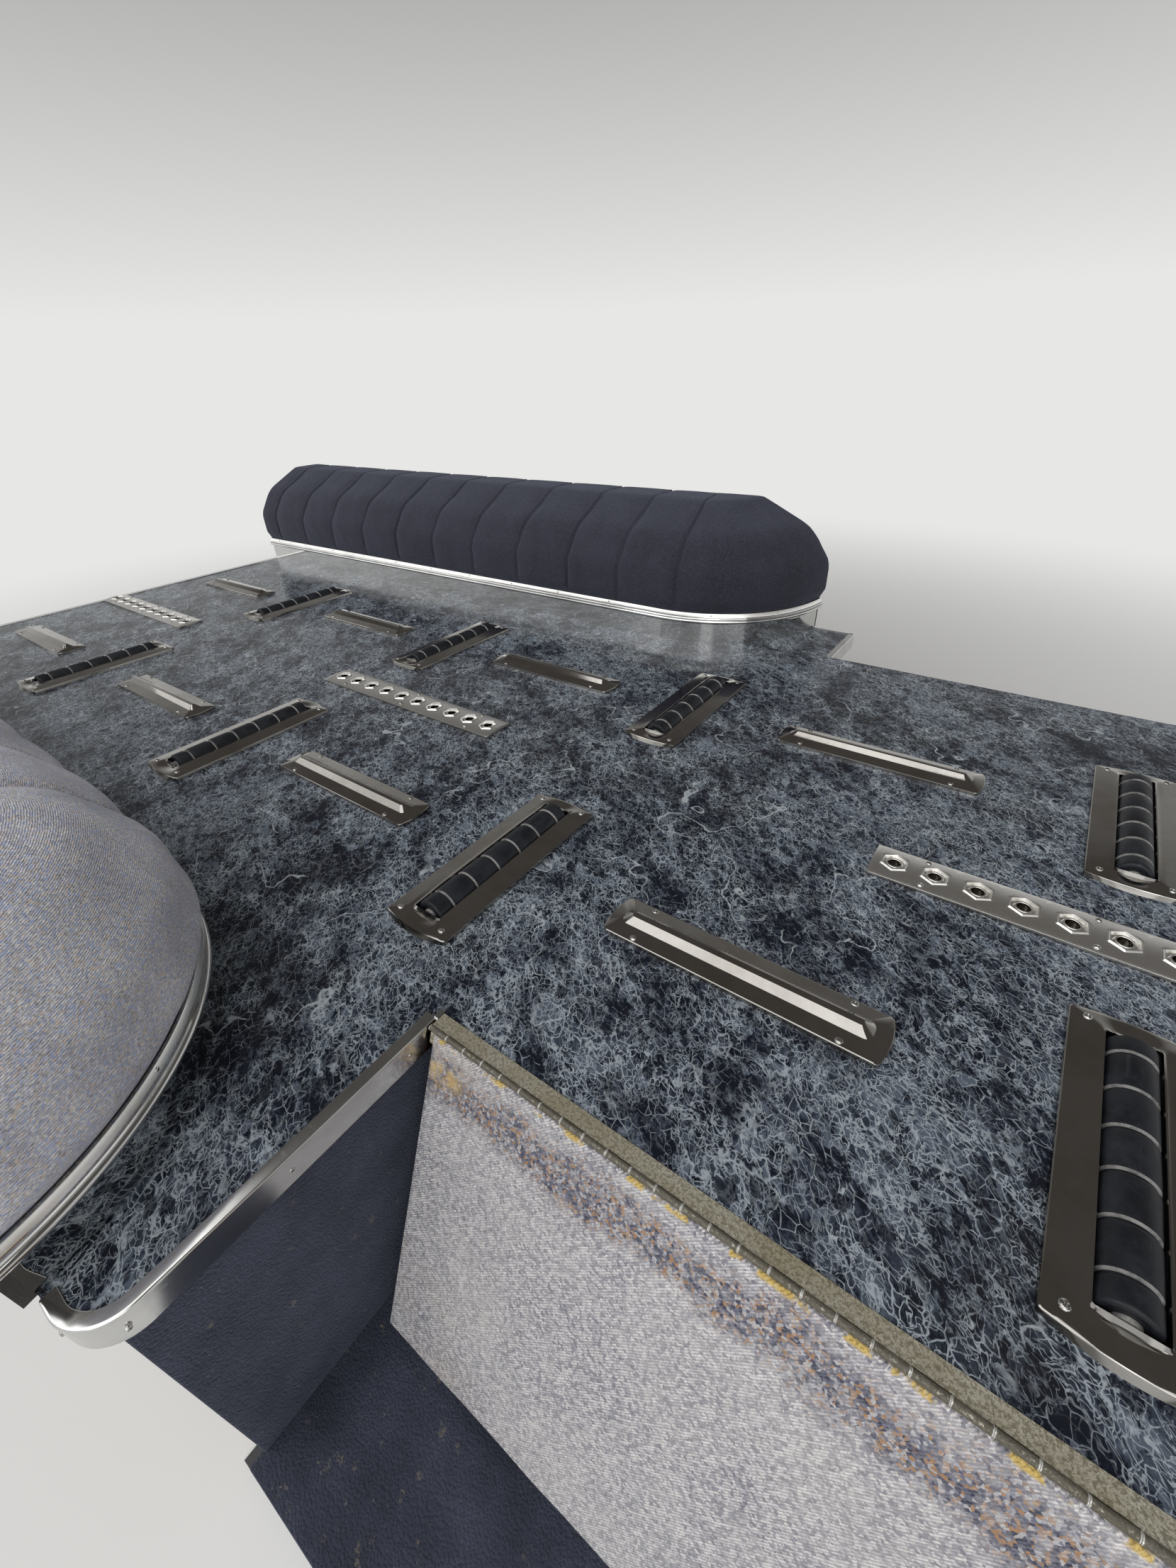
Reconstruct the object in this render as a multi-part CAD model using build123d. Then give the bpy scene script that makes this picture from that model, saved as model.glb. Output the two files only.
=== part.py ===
from build123d import *
import math
import os

# The casket deck of a hearse: the load floor with its rollers, skid bars and bier plates,
# the padded wheelhouse covers with their chrome rails, and the side footwell with its hinged flap.
# Millimetres. +X is the front of the vehicle, +Y its left side, +Z up.
# The origin is on the floor under the middle of the deck's length and width.

# Overall sizes
half_length = 1500
half_width = 880
rear_end_x = -1498
deck_top = 415
board_thickness = 18
laminate_thickness = 1.5
board_top = deck_top - laminate_thickness
board_bottom = board_top - board_thickness

# Plan of the deck: the covers' inner faces, their round front corners, and the edges ahead of them
cover_face_y = 602
corner_radius = 310
corner_x = 254
corner_y = cover_face_y + corner_radius
board_under_cover = 30
tongue_front_x = 628
tongue_end_y = 870
tongue_corner_radius = 45
left_tongue_front_x = 664
left_edge_y = 690
right_edge_y = 520

# Rollers: places of the rows along the deck, and the two columns either side of the centre line
column_y = 284.5
roller_rows_x = [-857, -174, 508, 1235]
roller_radius = 22
roller_length = 263
roller_shoulder = 2.5
ring_count = 6
ring_pitch = 43.3
ring_top_width = 6
ring_bottom_width = 2
ring_depth = 2.2
hub_radius = 10
hub_length = 2.5
end_recess_radius = 15
end_recess_depth = 1.5
roller_axis_z = deck_top
axle_radius = 5
axle_clearance = 0.05
pan_length = 282
pan_width = 54
pan_wall = 2
pan_rise = 1.5
pan_bottom_z = 384

# Roller bezels: a casting with an upright edge, sloping in to a lip round the opening
# Columns: length, width, bulge of the arc ends, height above the deck
bezel_levels = [
    (335, 108, 9.5, 0),
    (324, 108, 4, 6.5),
    (280, 49, 1, 10.5),
]
bezel_opening = (271, 45)
bezel_pocket = (283, 55)
bezel_pocket_height = 7.5
scoop_radius = 48
scoop_floor = 5
scoop_tilt = 8

# Skid bars lie along X between the roller rows
skid_column_y = 281
skid_rows_x = [-1203, -516, 161, 873]
# Columns: length, width, height above the deck, one row for each level of the hipped casting
skid_levels = [
    (338, 66, 0),
    (338, 66, 6),
    (300, 26, 10),
    (276, 9, 17),
]

# Bier plates along the centre line, with a row of pin holes in six-sided cups
# Columns: x, y of the plate's middle
bier_plates = {"rear": (-1224, 0), "middle": (-11, 0), "front": (1201, 5)}
bier_length = 513
bier_width = 68
bier_edge = 5.5
bier_crown = 8
bier_hole_count = 10
bier_hole_pitch = 50.8
bier_hole_radius = 8
board_hole_radius = 10
cup_radius = 18.5
cup_wall = 2
cup_top = 9.5
cup_floor = 6
cup_ring_radius = 11
cup_ring_top = 8.5

# Covers: sections are drawn as (depth outwards from the cover's inner face, height above the deck)
band_height = 50
band_thickness = 1.5
rail_height = 25
rail_top = band_height + rail_height
former_thickness = 9
# Columns: depth, height, corner radius, from the rail up to the ledge under the window
pad_outer = [
    (3, rail_top, 0),
    (-9, 99, 22),
    (-8, 165, 60),
    (48, 241, 120),
    (180, 303, 40),
    (278, 303, 0),
]
pad_inner = [
    (46, rail_top, 0),
    (46, 142, 40),
    (84, 193, 80),
    (196, 256, 20),
    (278, 256, 0),
]

# Side footwell, its walls and carpet
well_depth_floor = 3
carpet_thickness = 5
wall_thickness = 12
well_rear_x = 614
well_front_x = 1478
well_outer_y = 868
well_rear_outer_y = 850
well_inner_y = 505

# Flap on its piano hinge
hinge_y = -(right_edge_y + 11)
hinge_z = deck_top + 0.75
hinge_radius = 3.2
hinge_pin_radius = 1.6
hinge_clearance = 0.06
hinge_gap = 0.4
hinge_start_x = 634
knuckle_pitch = 25.4
knuckle_count = 33
leaf_thickness = 1.5
leaf_width = 20
flap_length = 427
flap_start_x = 640
flap_end_x = 1468
flap_hang_angle = 67.4
flap_bevel_start = 6
flap_bevel_end = 42

# Edge trims
nosing_thickness = 2
nosing_top_leg = 11
nosing_height = 34
sill_width = 16
sill_height = 45

# Sub-frame of rectangular tube
tube_top = board_bottom
rail_y = 465
rail_size = (50, 60)
cross_x = [-1475, -690, -330, 340, 700, 1475]
cross_size = (40, 60)
outrigger_x = [-1475, -690, -100, 500]
outrigger_size = (40, 40)
post_size = 30
leg_x = [-1475, -690, 340, 1475]
leg_size = 50
foot_size = (110, 110)
foot_thickness = 8
foot_hole_radius = 5.5
foot_hole_y = 405

sides = {"left": 1, "right": -1}


def block(x_range, y_range, z_range):
    # A box between the given limits
    size = [high - low for low, high in (x_range, y_range, z_range)]
    centre = [(high + low) / 2 for low, high in (x_range, y_range, z_range)]
    return Pos(*centre) * Box(*size)


def closed_face(edges):
    return Face(Wire(edges))


def deck_outline(z):
    # The deck's plan: straight beside the covers, round their corners, and out to the two tongues
    radius = corner_radius - board_under_cover
    inner_y = cover_face_y + board_under_cover
    reach = corner_y - tongue_end_y
    sweep = math.degrees(math.acos(reach / radius))
    tip_x = corner_x + math.sqrt(radius**2 - reach**2)
    fillet_x = tongue_front_x - tongue_corner_radius
    fillet_y = -tongue_end_y + tongue_corner_radius
    corners = [
        (tongue_front_x, fillet_y),
        (tongue_front_x, -right_edge_y),
        (half_length, -right_edge_y),
        (half_length, left_edge_y),
        (left_tongue_front_x, left_edge_y),
        (left_tongue_front_x, tongue_end_y),
        (tip_x, tongue_end_y),
    ]
    edges = [
        Line((rear_end_x, -inner_y), (corner_x, -inner_y)),
        CenterArc((corner_x, -corner_y), radius, 90, -sweep),
        Line((tip_x, -tongue_end_y), (fillet_x, -tongue_end_y)),
        CenterArc((fillet_x, fillet_y), tongue_corner_radius, -90, 90),
    ]
    for start, end in zip(corners, corners[1:]):
        edges.append(Line(start, end))
    edges.append(CenterArc((corner_x, corner_y), radius, sweep - 90, -sweep))
    edges.append(Line((corner_x, inner_y), (rear_end_x, inner_y)))
    edges.append(Line((rear_end_x, inner_y), (rear_end_x, -inner_y)))
    return Pos(0, 0, z) * closed_face(edges)


def bier_hole_centres():
    first = -bier_hole_pitch * (bier_hole_count - 1) / 2
    return [first + bier_hole_pitch * i for i in range(bier_hole_count)]


def deck_layer(bottom, thickness):
    # One layer of the deck with its cut-outs for the roller pans and the pin holes
    layer = extrude(deck_outline(bottom), thickness)
    middle = bottom + thickness / 2
    cutters = []
    for x in roller_rows_x:
        for side in sides.values():
            slot = Box(pan_width + 1, pan_length + 1, 3 * thickness)
            cutters.append(Pos(x, side * column_y, middle) * slot)
    for x, y in bier_plates.values():
        for offset in bier_hole_centres():
            hole = Cylinder(board_hole_radius, 3 * thickness)
            cutters.append(Pos(x + offset, y, middle) * hole)
    return layer - cutters


def bezel_outline(length, width, bulge, z):
    # Straight long sides along Y and convex arc ends
    straight = length / 2 - bulge
    half = width / 2
    edges = [
        Line((half, -straight), (half, straight)),
        ThreePointArc((half, straight), (0, length / 2), (-half, straight)),
        Line((-half, straight), (-half, -straight)),
        ThreePointArc((-half, -straight), (0, -length / 2), (half, -straight)),
    ]
    return Pos(0, 0, z) * closed_face(edges)


def roller_bezel():
    # Cast frame: an upright edge, a slope up to the lip, and a spoon-shaped relief at each end
    outlines = [bezel_outline(*level) for level in bezel_levels]
    casting = loft(outlines[:2], ruled=True) + loft(outlines[1:], ruled=True)
    top = bezel_levels[-1][3]
    length, width = bezel_opening
    opening = Box(width, length, 4 * top)
    pocket_length, pocket_width = bezel_pocket
    pocket = Box(pocket_width, pocket_length, 2 * bezel_pocket_height)
    scoop = Rot(90 + scoop_tilt, 0, 0) * Cylinder(scoop_radius, length / 3)
    scoop = Pos(0, length / 2, scoop_floor + scoop_radius) * scoop
    reliefs = [scoop, mirror(scoop, about=Plane.XZ)]
    return Pos(0, 0, deck_top) * (casting - opening - pocket - reliefs)


def roller_end_profile():
    # Points (radius, distance in from the roller's end) of the hub, the ring recess and the shoulder
    return [
        (0, -hub_length),
        (hub_radius, -hub_length),
        (hub_radius, end_recess_depth),
        (end_recess_radius, end_recess_depth),
        (end_recess_radius + end_recess_depth, 0),
        (roller_radius - roller_shoulder, 0),
        (roller_radius, roller_shoulder),
    ]


def roller():
    # Rubber roller: six ring grooves between plain ends
    half = roller_length / 2
    points = [(radius, -half + inset) for radius, inset in roller_end_profile()]
    for i in range(ring_count):
        y = (i - (ring_count - 1) / 2) * ring_pitch
        bottom = roller_radius - ring_depth
        points.append((roller_radius, y - ring_top_width / 2))
        points.append((bottom, y - ring_bottom_width / 2))
        points.append((bottom, y + ring_bottom_width / 2))
        points.append((roller_radius, y + ring_top_width / 2))
    points += [(radius, half - inset) for radius, inset in reversed(roller_end_profile())]
    profile = Polyline(*points, close=True)
    body = revolve(Face(Wire(profile.edges())), Axis.Y)
    bore = Rot(90, 0, 0) * Cylinder(axle_radius + axle_clearance, 2 * roller_length)
    return Pos(0, 0, roller_axis_z) * (body - bore)


def roller_pan():
    # Folded steel pan that hangs under the bezel and holds the axle
    outer = block(
        (-pan_width / 2, pan_width / 2),
        (-pan_length / 2, pan_length / 2),
        (pan_bottom_z, deck_top + pan_rise),
    )
    inner = block(
        (-pan_width / 2 + pan_wall, pan_width / 2 - pan_wall),
        (-pan_length / 2 + pan_wall, pan_length / 2 - pan_wall),
        (pan_bottom_z + pan_wall, 2 * deck_top),
    )
    bore = Pos(0, 0, roller_axis_z) * Rot(90, 0, 0) * Cylinder(axle_radius, 2 * pan_length)
    return outer - inner - bore


def roller_axle():
    return Pos(0, 0, roller_axis_z) * Rot(90, 0, 0) * Cylinder(axle_radius, pan_length)


def at_each_roller(piece):
    places = [(x, side * column_y) for x in roller_rows_x for side in sides.values()]
    return Compound([Pos(x, y, 0) * piece for x, y in places])


def skid_bar():
    # Hipped casting: upright edge, two low flanges, and a tall narrow ridge
    levels = [Pos(0, 0, z) * Rectangle(length, width) for length, width, z in skid_levels]
    bar = extrude(levels[0], skid_levels[1][2])
    for low, high in zip(levels[1:], levels[2:]):
        bar += loft([low, high], ruled=True)
    return Pos(0, 0, deck_top) * bar


def bier_plate():
    # Crowned strip; each pin hole has a ring round it inside a raised six-sided cup
    half = bier_width / 2
    edges = [
        Line((-half, 0), (half, 0)),
        Line((half, 0), (half, bier_edge)),
        ThreePointArc((half, bier_edge), (0, bier_crown), (-half, bier_edge)),
        Line((-half, bier_edge), (-half, 0)),
    ]
    section = Plane.YZ.offset(-bier_length / 2) * closed_face(edges)
    plate = extrude(section, bier_length)
    hexagon = Rot(0, 0, 90) * RegularPolygon(cup_radius, 6)
    hollow = Rot(0, 0, 90) * RegularPolygon(cup_radius - cup_wall, 6)
    cups = []
    pockets = []
    rings = []
    holes = []
    for x in bier_hole_centres():
        cups.append(Pos(x, 0, 0) * extrude(hexagon, cup_top))
        pockets.append(Pos(x, 0, cup_floor) * extrude(hollow, cup_top))
        rings.append(Pos(x, 0, cup_ring_top / 2) * Cylinder(cup_ring_radius, cup_ring_top))
        holes.append(Pos(x, 0, 0) * Cylinder(bier_hole_radius, 4 * cup_top))
    return Pos(0, 0, deck_top) * (plate + cups - pockets + rings - holes)


def along_cover(section, x_start=-half_length, y_limit=half_width):
    # Runs a (depth, height) section beside the deck and round the cover's front corner, on the left
    face = Pos(x_start, cover_face_y, deck_top) * (Plane.YZ * section)
    straight = extrude(face, corner_x - x_start, dir=(1, 0, 0))
    turning = Pos(corner_x, cover_face_y, deck_top) * (Plane.YZ * section)
    axis = Axis((corner_x, corner_y, 0), (0, 0, 1))
    corner = revolve(turning, axis, 90)
    whole = straight + corner
    inside = block((-2 * half_length, 2 * half_length), (0, y_limit), (0, 2 * deck_top))
    return whole & inside


def band_section():
    return Pos(band_thickness / 2, band_height / 2) * Rectangle(band_thickness, band_height)


def rail_section():
    # Chrome moulding: a fat lower bead, a thin middle bead and a flat top lip
    low = band_height
    edges = [
        Line((band_thickness, low), (-5, low)),
        ThreePointArc((-5, low), (-9, low + 5), (-5, low + 10)),
        ThreePointArc((-5, low + 10), (-7, low + 12.5), (-4, low + 15)),
        Line((-4, low + 15), (-2, rail_top)),
        Line((-2, rail_top), (band_thickness, rail_top)),
        Line((band_thickness, rail_top), (band_thickness, low)),
    ]
    return closed_face(edges)


def cover_line(table):
    points = [(depth, height) for depth, height, radius in table]
    radii = [radius for depth, height, radius in table[1:-1]]
    return FilletPolyline(*points, radius=radii)


def pad_section():
    outer = cover_line(pad_outer)
    inner = cover_line(pad_inner)
    ends = [
        Line(outer @ 0, inner @ 0),
        Line(outer @ 1, inner @ 1),
    ]
    return closed_face(outer.edges() + inner.edges() + ends)


def former_section():
    # Board behind the band and under the pad, stepped where the pad's lower edge sits
    skin = former_thickness
    outer = cover_line(pad_inner)
    inner = [
        outer @ 1,
        (278, 256 - skin),
        (198, 256 - skin),
        (90, 187),
        (46 + skin, 140),
        (46 + skin, rail_top - skin),
        (band_thickness + skin, rail_top - skin),
        (band_thickness + skin, 0),
        (band_thickness, 0),
        (band_thickness, rail_top),
        outer @ 0,
    ]
    return closed_face(outer.edges() + Polyline(*inner).edges())


def nosing_right():
    # Angle along the tongue's front edge and round its outer corner
    outer_x = tongue_front_x + nosing_thickness
    outer_y = -tongue_end_y - nosing_thickness
    inner_radius = tongue_corner_radius
    top_radius = tongue_corner_radius - nosing_top_leg
    start_x = corner_x + corner_radius + 2

    def quarter(front_x, end_y, radius, z):
        centre_x = front_x - radius
        centre_y = end_y + radius
        edges = [
            Line((start_x, end_y), (centre_x, end_y)),
            CenterArc((centre_x, centre_y), radius, -90, 90),
            Line((front_x, centre_y), (front_x, -right_edge_y)),
            Line((front_x, -right_edge_y), (start_x, -right_edge_y)),
            Line((start_x, -right_edge_y), (start_x, end_y)),
        ]
        return Pos(0, 0, z) * closed_face(edges)

    low = deck_top - nosing_height
    height = nosing_height + nosing_thickness
    outer = extrude(quarter(outer_x, outer_y, inner_radius + nosing_thickness, low), height)
    deck = extrude(quarter(tongue_front_x, -tongue_end_y, inner_radius, low), nosing_height)
    top_x = tongue_front_x - nosing_top_leg
    top_y = -tongue_end_y + nosing_top_leg
    top = extrude(quarter(top_x, top_y, top_radius, low), 2 * height)
    return outer - deck - top


def nosing_left():
    # Angle along the left tongue's outer end and its front edge
    low = deck_top - nosing_height
    high = deck_top + nosing_thickness
    x_range = (corner_x + corner_radius + 2, left_tongue_front_x + nosing_thickness)
    y_range = (left_edge_y, tongue_end_y + nosing_thickness)
    outer = block(x_range, y_range, (low, high))
    deck = block((0, left_tongue_front_x), (0, tongue_end_y), (low - 1, deck_top))
    top_x = left_tongue_front_x - nosing_top_leg
    top = block((0, top_x), (0, tongue_end_y - nosing_top_leg), (low - 1, high + 1))
    return outer - deck - top


def rear_sill():
    # Threshold angle over the deck's rear end
    y_range = (-cover_face_y, cover_face_y)
    thick = nosing_thickness
    top = block(
        (rear_end_x - thick, rear_end_x + sill_width),
        y_range,
        (deck_top, deck_top + thick),
    )
    face = block(
        (rear_end_x - thick, rear_end_x),
        y_range,
        (deck_top - sill_height, deck_top),
    )
    return top + face


def knuckles(first, bore_radius):
    # Every second knuckle of the piano hinge, starting at the given one
    ring = Cylinder(hinge_radius, knuckle_pitch - hinge_gap)
    ring -= Cylinder(bore_radius, 2 * knuckle_pitch)
    ring = Rot(0, 90, 0) * ring
    start = hinge_start_x + knuckle_pitch / 2
    places = [start + knuckle_pitch * i for i in range(first, knuckle_count, 2)]
    return [Pos(x, 0, 0) * ring for x in places]


def hinge_leaf(first, bore_radius, low, direction):
    # A leaf with its own knuckles; the leaf is notched where the other leaf's knuckles turn
    end_x = hinge_start_x + knuckle_pitch * knuckle_count
    notch = hinge_radius + 0.6
    high = low + leaf_thickness
    strip = block((hinge_start_x, end_x), (notch, leaf_width), (low, high))
    start = hinge_start_x + knuckle_pitch / 2
    half = (knuckle_pitch - hinge_gap) / 2
    tabs = []
    for i in range(first, knuckle_count, 2):
        x = start + knuckle_pitch * i
        tabs.append(block((x - half, x + half), (0, notch), (low, high)))
    bore = Rot(0, 90, 0) * Cylinder(bore_radius, 4 * half_length)
    leaf = (strip + tabs + knuckles(first, bore_radius)) - bore
    if direction < 0:
        leaf = mirror(leaf, about=Plane.XZ)
    return leaf


def hang(piece):
    # Turns a flap piece from its level place down to where it hangs, about the hinge
    return Pos(0, hinge_y, hinge_z) * Rot(flap_hang_angle, 0, 0) * piece


def flap_profile(points, x_start, x_end):
    # Points are (distance out from the hinge axis, height over it) with the flap level
    outline = [(-distance, height) for distance, height in points]
    face = Plane.YZ.offset(x_start) * closed_face(Polyline(*outline, close=True).edges())
    return extrude(face, x_end - x_start, dir=(1, 0, 0))


def flap_panel():
    top = -hinge_radius
    bottom = top - wall_thickness
    edge = flap_length - carpet_thickness
    points = [(flap_bevel_start, top), (edge, top), (edge, bottom), (flap_bevel_end, bottom)]
    panel = flap_profile(points, flap_start_x + carpet_thickness, flap_end_x - carpet_thickness)
    return hang(panel)


def flap_carpet():
    # Carpet over the outer face, thinner over the hinge leaf, wrapped round the three free edges
    leaf_top = -hinge_radius + leaf_thickness
    top = -hinge_radius + carpet_thickness
    bottom = -hinge_radius - wall_thickness
    points = [
        (flap_bevel_start, leaf_top),
        (leaf_width, leaf_top),
        (leaf_width, bottom),
        (flap_length, bottom),
        (flap_length, top),
        (flap_bevel_start, top),
    ]
    blank = flap_profile(points, flap_start_x, flap_end_x)
    edge = flap_length - carpet_thickness
    board_top_line = -hinge_radius
    hollow = flap_profile(
        [(0, board_top_line), (edge, board_top_line), (edge, -60), (0, -60)],
        flap_start_x + carpet_thickness,
        flap_end_x - carpet_thickness,
    )
    bevel = flap_profile(
        [(0, board_top_line), (flap_bevel_start, board_top_line), (flap_bevel_end, bottom), (0, bottom)],
        0,
        2 * half_length,
    )
    return hang(blank - hollow - bevel)


def hinge_pin():
    length = knuckle_pitch * knuckle_count
    pin = Rot(0, 90, 0) * Cylinder(hinge_pin_radius, length)
    return Pos(hinge_start_x + length / 2, hinge_y, hinge_z) * pin


def well_wall_board():
    x_range = (well_rear_x - carpet_thickness - wall_thickness, well_rear_x - carpet_thickness)
    return block(x_range, (-well_rear_outer_y, -well_inner_y), (well_depth_floor, board_bottom))


def well_wall_carpet():
    x_range = (well_rear_x - carpet_thickness, well_rear_x)
    low = well_depth_floor + carpet_thickness
    return block(x_range, (-well_rear_outer_y, -well_inner_y), (low, board_bottom))


def well_inner_wall():
    x_range = (well_rear_x - carpet_thickness, well_front_x)
    y_range = (-well_inner_y, -well_inner_y + wall_thickness)
    return block(x_range, y_range, (well_depth_floor, board_bottom))


def well_front_wall():
    x_range = (well_front_x, well_front_x + wall_thickness)
    y_range = (-well_outer_y, -well_inner_y + wall_thickness)
    return block(x_range, y_range, (well_depth_floor, board_bottom))


def well_floor_pan():
    x_range = (well_rear_x - carpet_thickness - wall_thickness, well_front_x + wall_thickness)
    y_range = (-well_outer_y, -well_inner_y + wall_thickness)
    return block(x_range, y_range, (0, well_depth_floor))


def well_floor_carpet():
    x_range = (well_rear_x - carpet_thickness, well_front_x)
    z_range = (well_depth_floor, well_depth_floor + carpet_thickness)
    return block(x_range, (-well_outer_y, -well_inner_y), z_range)


def tube_along_y(x, y_range, size, top):
    width, height = size
    return block((x - width / 2, x + width / 2), y_range, (top - height, top))


def subframe_rails():
    width, height = rail_size
    rails = []
    for side in sides.values():
        y = side * rail_y
        y_range = (y - width / 2, y + width / 2)
        z_range = (tube_top - height, tube_top)
        rails.append(block((-half_length + 5, half_length - 5), y_range, z_range))
    return Compound(rails)


def subframe_cross_members():
    inner = rail_y - rail_size[0] / 2
    tubes = [tube_along_y(x, (-inner, inner), cross_size, tube_top) for x in cross_x]
    return Compound(tubes)


def subframe_outriggers():
    inner = rail_y + rail_size[0] / 2
    tubes = []
    for x in outrigger_x:
        tubes.append(tube_along_y(x, (inner, half_width - 12), outrigger_size, tube_top))
        tubes.append(tube_along_y(x, (-half_width + 12, -inner), outrigger_size, tube_top))
    return Compound(tubes)


def subframe_posts():
    # Uprights from the outriggers to the covers' ledges
    top = deck_top + pad_inner[-1][1] - former_thickness
    posts = []
    for x in outrigger_x[:-1]:
        for side in sides.values():
            centre_y = side * (half_width - 12 - post_size / 2)
            y_range = (centre_y - post_size / 2, centre_y + post_size / 2)
            x_range = (x - post_size / 2, x + post_size / 2)
            posts.append(block(x_range, y_range, (tube_top, top)))
    return Compound(posts)


def subframe_legs():
    # Legs under the rails, each with a foot plate that is bolted down
    legs = []
    rail_bottom = tube_top - rail_size[1]
    inner_y = rail_y + leg_size / 2 - foot_size[1]
    outer_y = rail_y + leg_size / 2
    for x in leg_x:
        for side in sides.values():
            x_range = (x - leg_size / 2, x + leg_size / 2)
            leg = block(x_range, (rail_y - leg_size / 2, outer_y), (foot_thickness, rail_bottom))
            foot_x = max(-half_length, min(half_length - foot_size[0], x - foot_size[0] / 2))
            foot = block((foot_x, foot_x + foot_size[0]), (inner_y, outer_y), (0, foot_thickness))
            hole = Pos(x, foot_hole_y, 0) * Cylinder(foot_hole_radius, 4 * foot_thickness)
            piece = leg + (foot - hole)
            if side < 0:
                piece = mirror(piece, about=Plane.XZ)
            legs.append(piece)
    return Compound(legs)


nodes = {}
nodes["deck_board"] = deck_layer(board_bottom, board_thickness)
nodes["deck_laminate"] = deck_layer(board_top, laminate_thickness)

for row, x in enumerate(roller_rows_x, start=1):
    for side_name, side in sides.items():
        place = Pos(x, side * column_y, 0)
        nodes[f"roller_bezel_{row}_{side_name}"] = place * roller_bezel()
        nodes[f"roller_{row}_{side_name}"] = place * roller()
nodes["roller_pans"] = at_each_roller(roller_pan())
nodes["roller_axles"] = at_each_roller(roller_axle())

for row, x in enumerate(skid_rows_x, start=1):
    for side_name, side in sides.items():
        nodes[f"skid_bar_{row}_{side_name}"] = Pos(x, side * skid_column_y, 0) * skid_bar()

for place_name, (x, y) in bier_plates.items():
    nodes[f"bier_plate_{place_name}"] = Pos(x, y, 0) * bier_plate()

cover_pieces = {
    "cover_pad": along_cover(pad_section()),
    "cover_former": along_cover(former_section()),
    "kick_band": along_cover(band_section(), y_limit=tongue_end_y),
    "chrome_rail": along_cover(rail_section(), y_limit=tongue_end_y),
}
for name, piece in cover_pieces.items():
    nodes[f"{name}_left"] = piece
    nodes[f"{name}_right"] = mirror(piece, about=Plane.XZ)

nodes["nosing_left"] = nosing_left()
nodes["nosing_right"] = nosing_right()
nodes["rear_sill"] = rear_sill()

deck_leaf = hinge_leaf(0, hinge_pin_radius, deck_top - hinge_z, 1)
turning_leaf = hinge_leaf(1, hinge_pin_radius + hinge_clearance, -hinge_radius, -1)
nodes["hinge_leaf_deck"] = Pos(0, hinge_y, hinge_z) * deck_leaf
nodes["hinge_leaf_flap"] = hang(turning_leaf)
nodes["hinge_pin"] = hinge_pin()
nodes["flap_panel"] = flap_panel()
nodes["flap_carpet"] = flap_carpet()

nodes["well_rear_wall"] = well_wall_board()
nodes["well_rear_carpet"] = well_wall_carpet()
nodes["well_inner_wall"] = well_inner_wall()
nodes["well_front_wall"] = well_front_wall()
nodes["well_floor_pan"] = well_floor_pan()
nodes["well_floor_carpet"] = well_floor_carpet()

nodes["subframe_rails"] = subframe_rails()
nodes["subframe_cross_members"] = subframe_cross_members()
nodes["subframe_outriggers"] = subframe_outriggers()
nodes["subframe_posts"] = subframe_posts()
nodes["subframe_legs"] = subframe_legs()

os.makedirs("parts", exist_ok=True)
for name, solid in nodes.items():
    export_step(solid, f"parts/{name}.step")
print(f"{len(nodes)} nodes written")
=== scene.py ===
import math

import bmesh
import bpy
from mathutils import Matrix, Vector, noise


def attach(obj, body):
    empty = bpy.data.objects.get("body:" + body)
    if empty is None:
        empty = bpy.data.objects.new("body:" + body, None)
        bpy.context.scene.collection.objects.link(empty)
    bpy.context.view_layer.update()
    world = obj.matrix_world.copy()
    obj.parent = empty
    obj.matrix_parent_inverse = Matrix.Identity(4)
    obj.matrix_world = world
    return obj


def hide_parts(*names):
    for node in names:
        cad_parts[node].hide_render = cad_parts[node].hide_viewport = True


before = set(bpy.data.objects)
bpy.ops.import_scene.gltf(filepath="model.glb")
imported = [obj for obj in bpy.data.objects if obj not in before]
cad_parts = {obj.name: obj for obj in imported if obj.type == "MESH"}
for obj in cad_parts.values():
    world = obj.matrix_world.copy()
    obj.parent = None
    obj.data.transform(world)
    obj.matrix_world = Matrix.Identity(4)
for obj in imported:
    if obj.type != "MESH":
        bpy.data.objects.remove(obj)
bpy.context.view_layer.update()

print("frame loaded")

# Lengths in the dictionaries are millimetres; a finished piece is scaled to metres.
deckTop = 415
coverFace = 602      # y of the covers' inner faces
cornerX = 254        # where the covers turn
cornerRadius = 310
coverCut = 880       # y of the covers' outer ends
hingeAxis = (-531, 415.75)      # y, z of the flap's hinge
weld = 0.01          # vertices nearer than this are one
signs = {"left": 1, "right": -1}      # of y on each side


# Shader helpers

inHand = {}      # the material that is being made, and its node tree
finish = {}      # the materials by their keys


def addNode(kind, values=None, **settings):
    node = inHand["tree"].nodes.new(kind)
    for name, value in settings.items():
        setattr(node, name, value)
    for socket, value in (values or {}).items():
        if isinstance(value, bpy.types.NodeSocket):
            inHand["tree"].links.new(value, node.inputs[socket])
        else:
            node.inputs[socket].default_value = value
    return node


def join(value, socket, node="Principled BSDF"):
    inHand["tree"].links.new(value, inHand["tree"].nodes[node].inputs[socket])


def startMaterial(name, **uniform):
    # uniform holds what is the same all over, with _ for the spaces of a socket's name
    material = bpy.data.materials.new(name)
    material.use_nodes = True
    inHand.update(material=material, tree=material.node_tree)
    for socket, value in uniform.items():
        material.node_tree.nodes["Principled BSDF"].inputs[socket.replace("_", " ")].default_value = value
    return addNode("ShaderNodeTexCoord").outputs["Object"]


def stretched(place, scale, turn=(0, 0, 0)):
    return addNode("ShaderNodeMapping", {"Vector": place, "Scale": scale, "Rotation": turn}).outputs[0]


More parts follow.
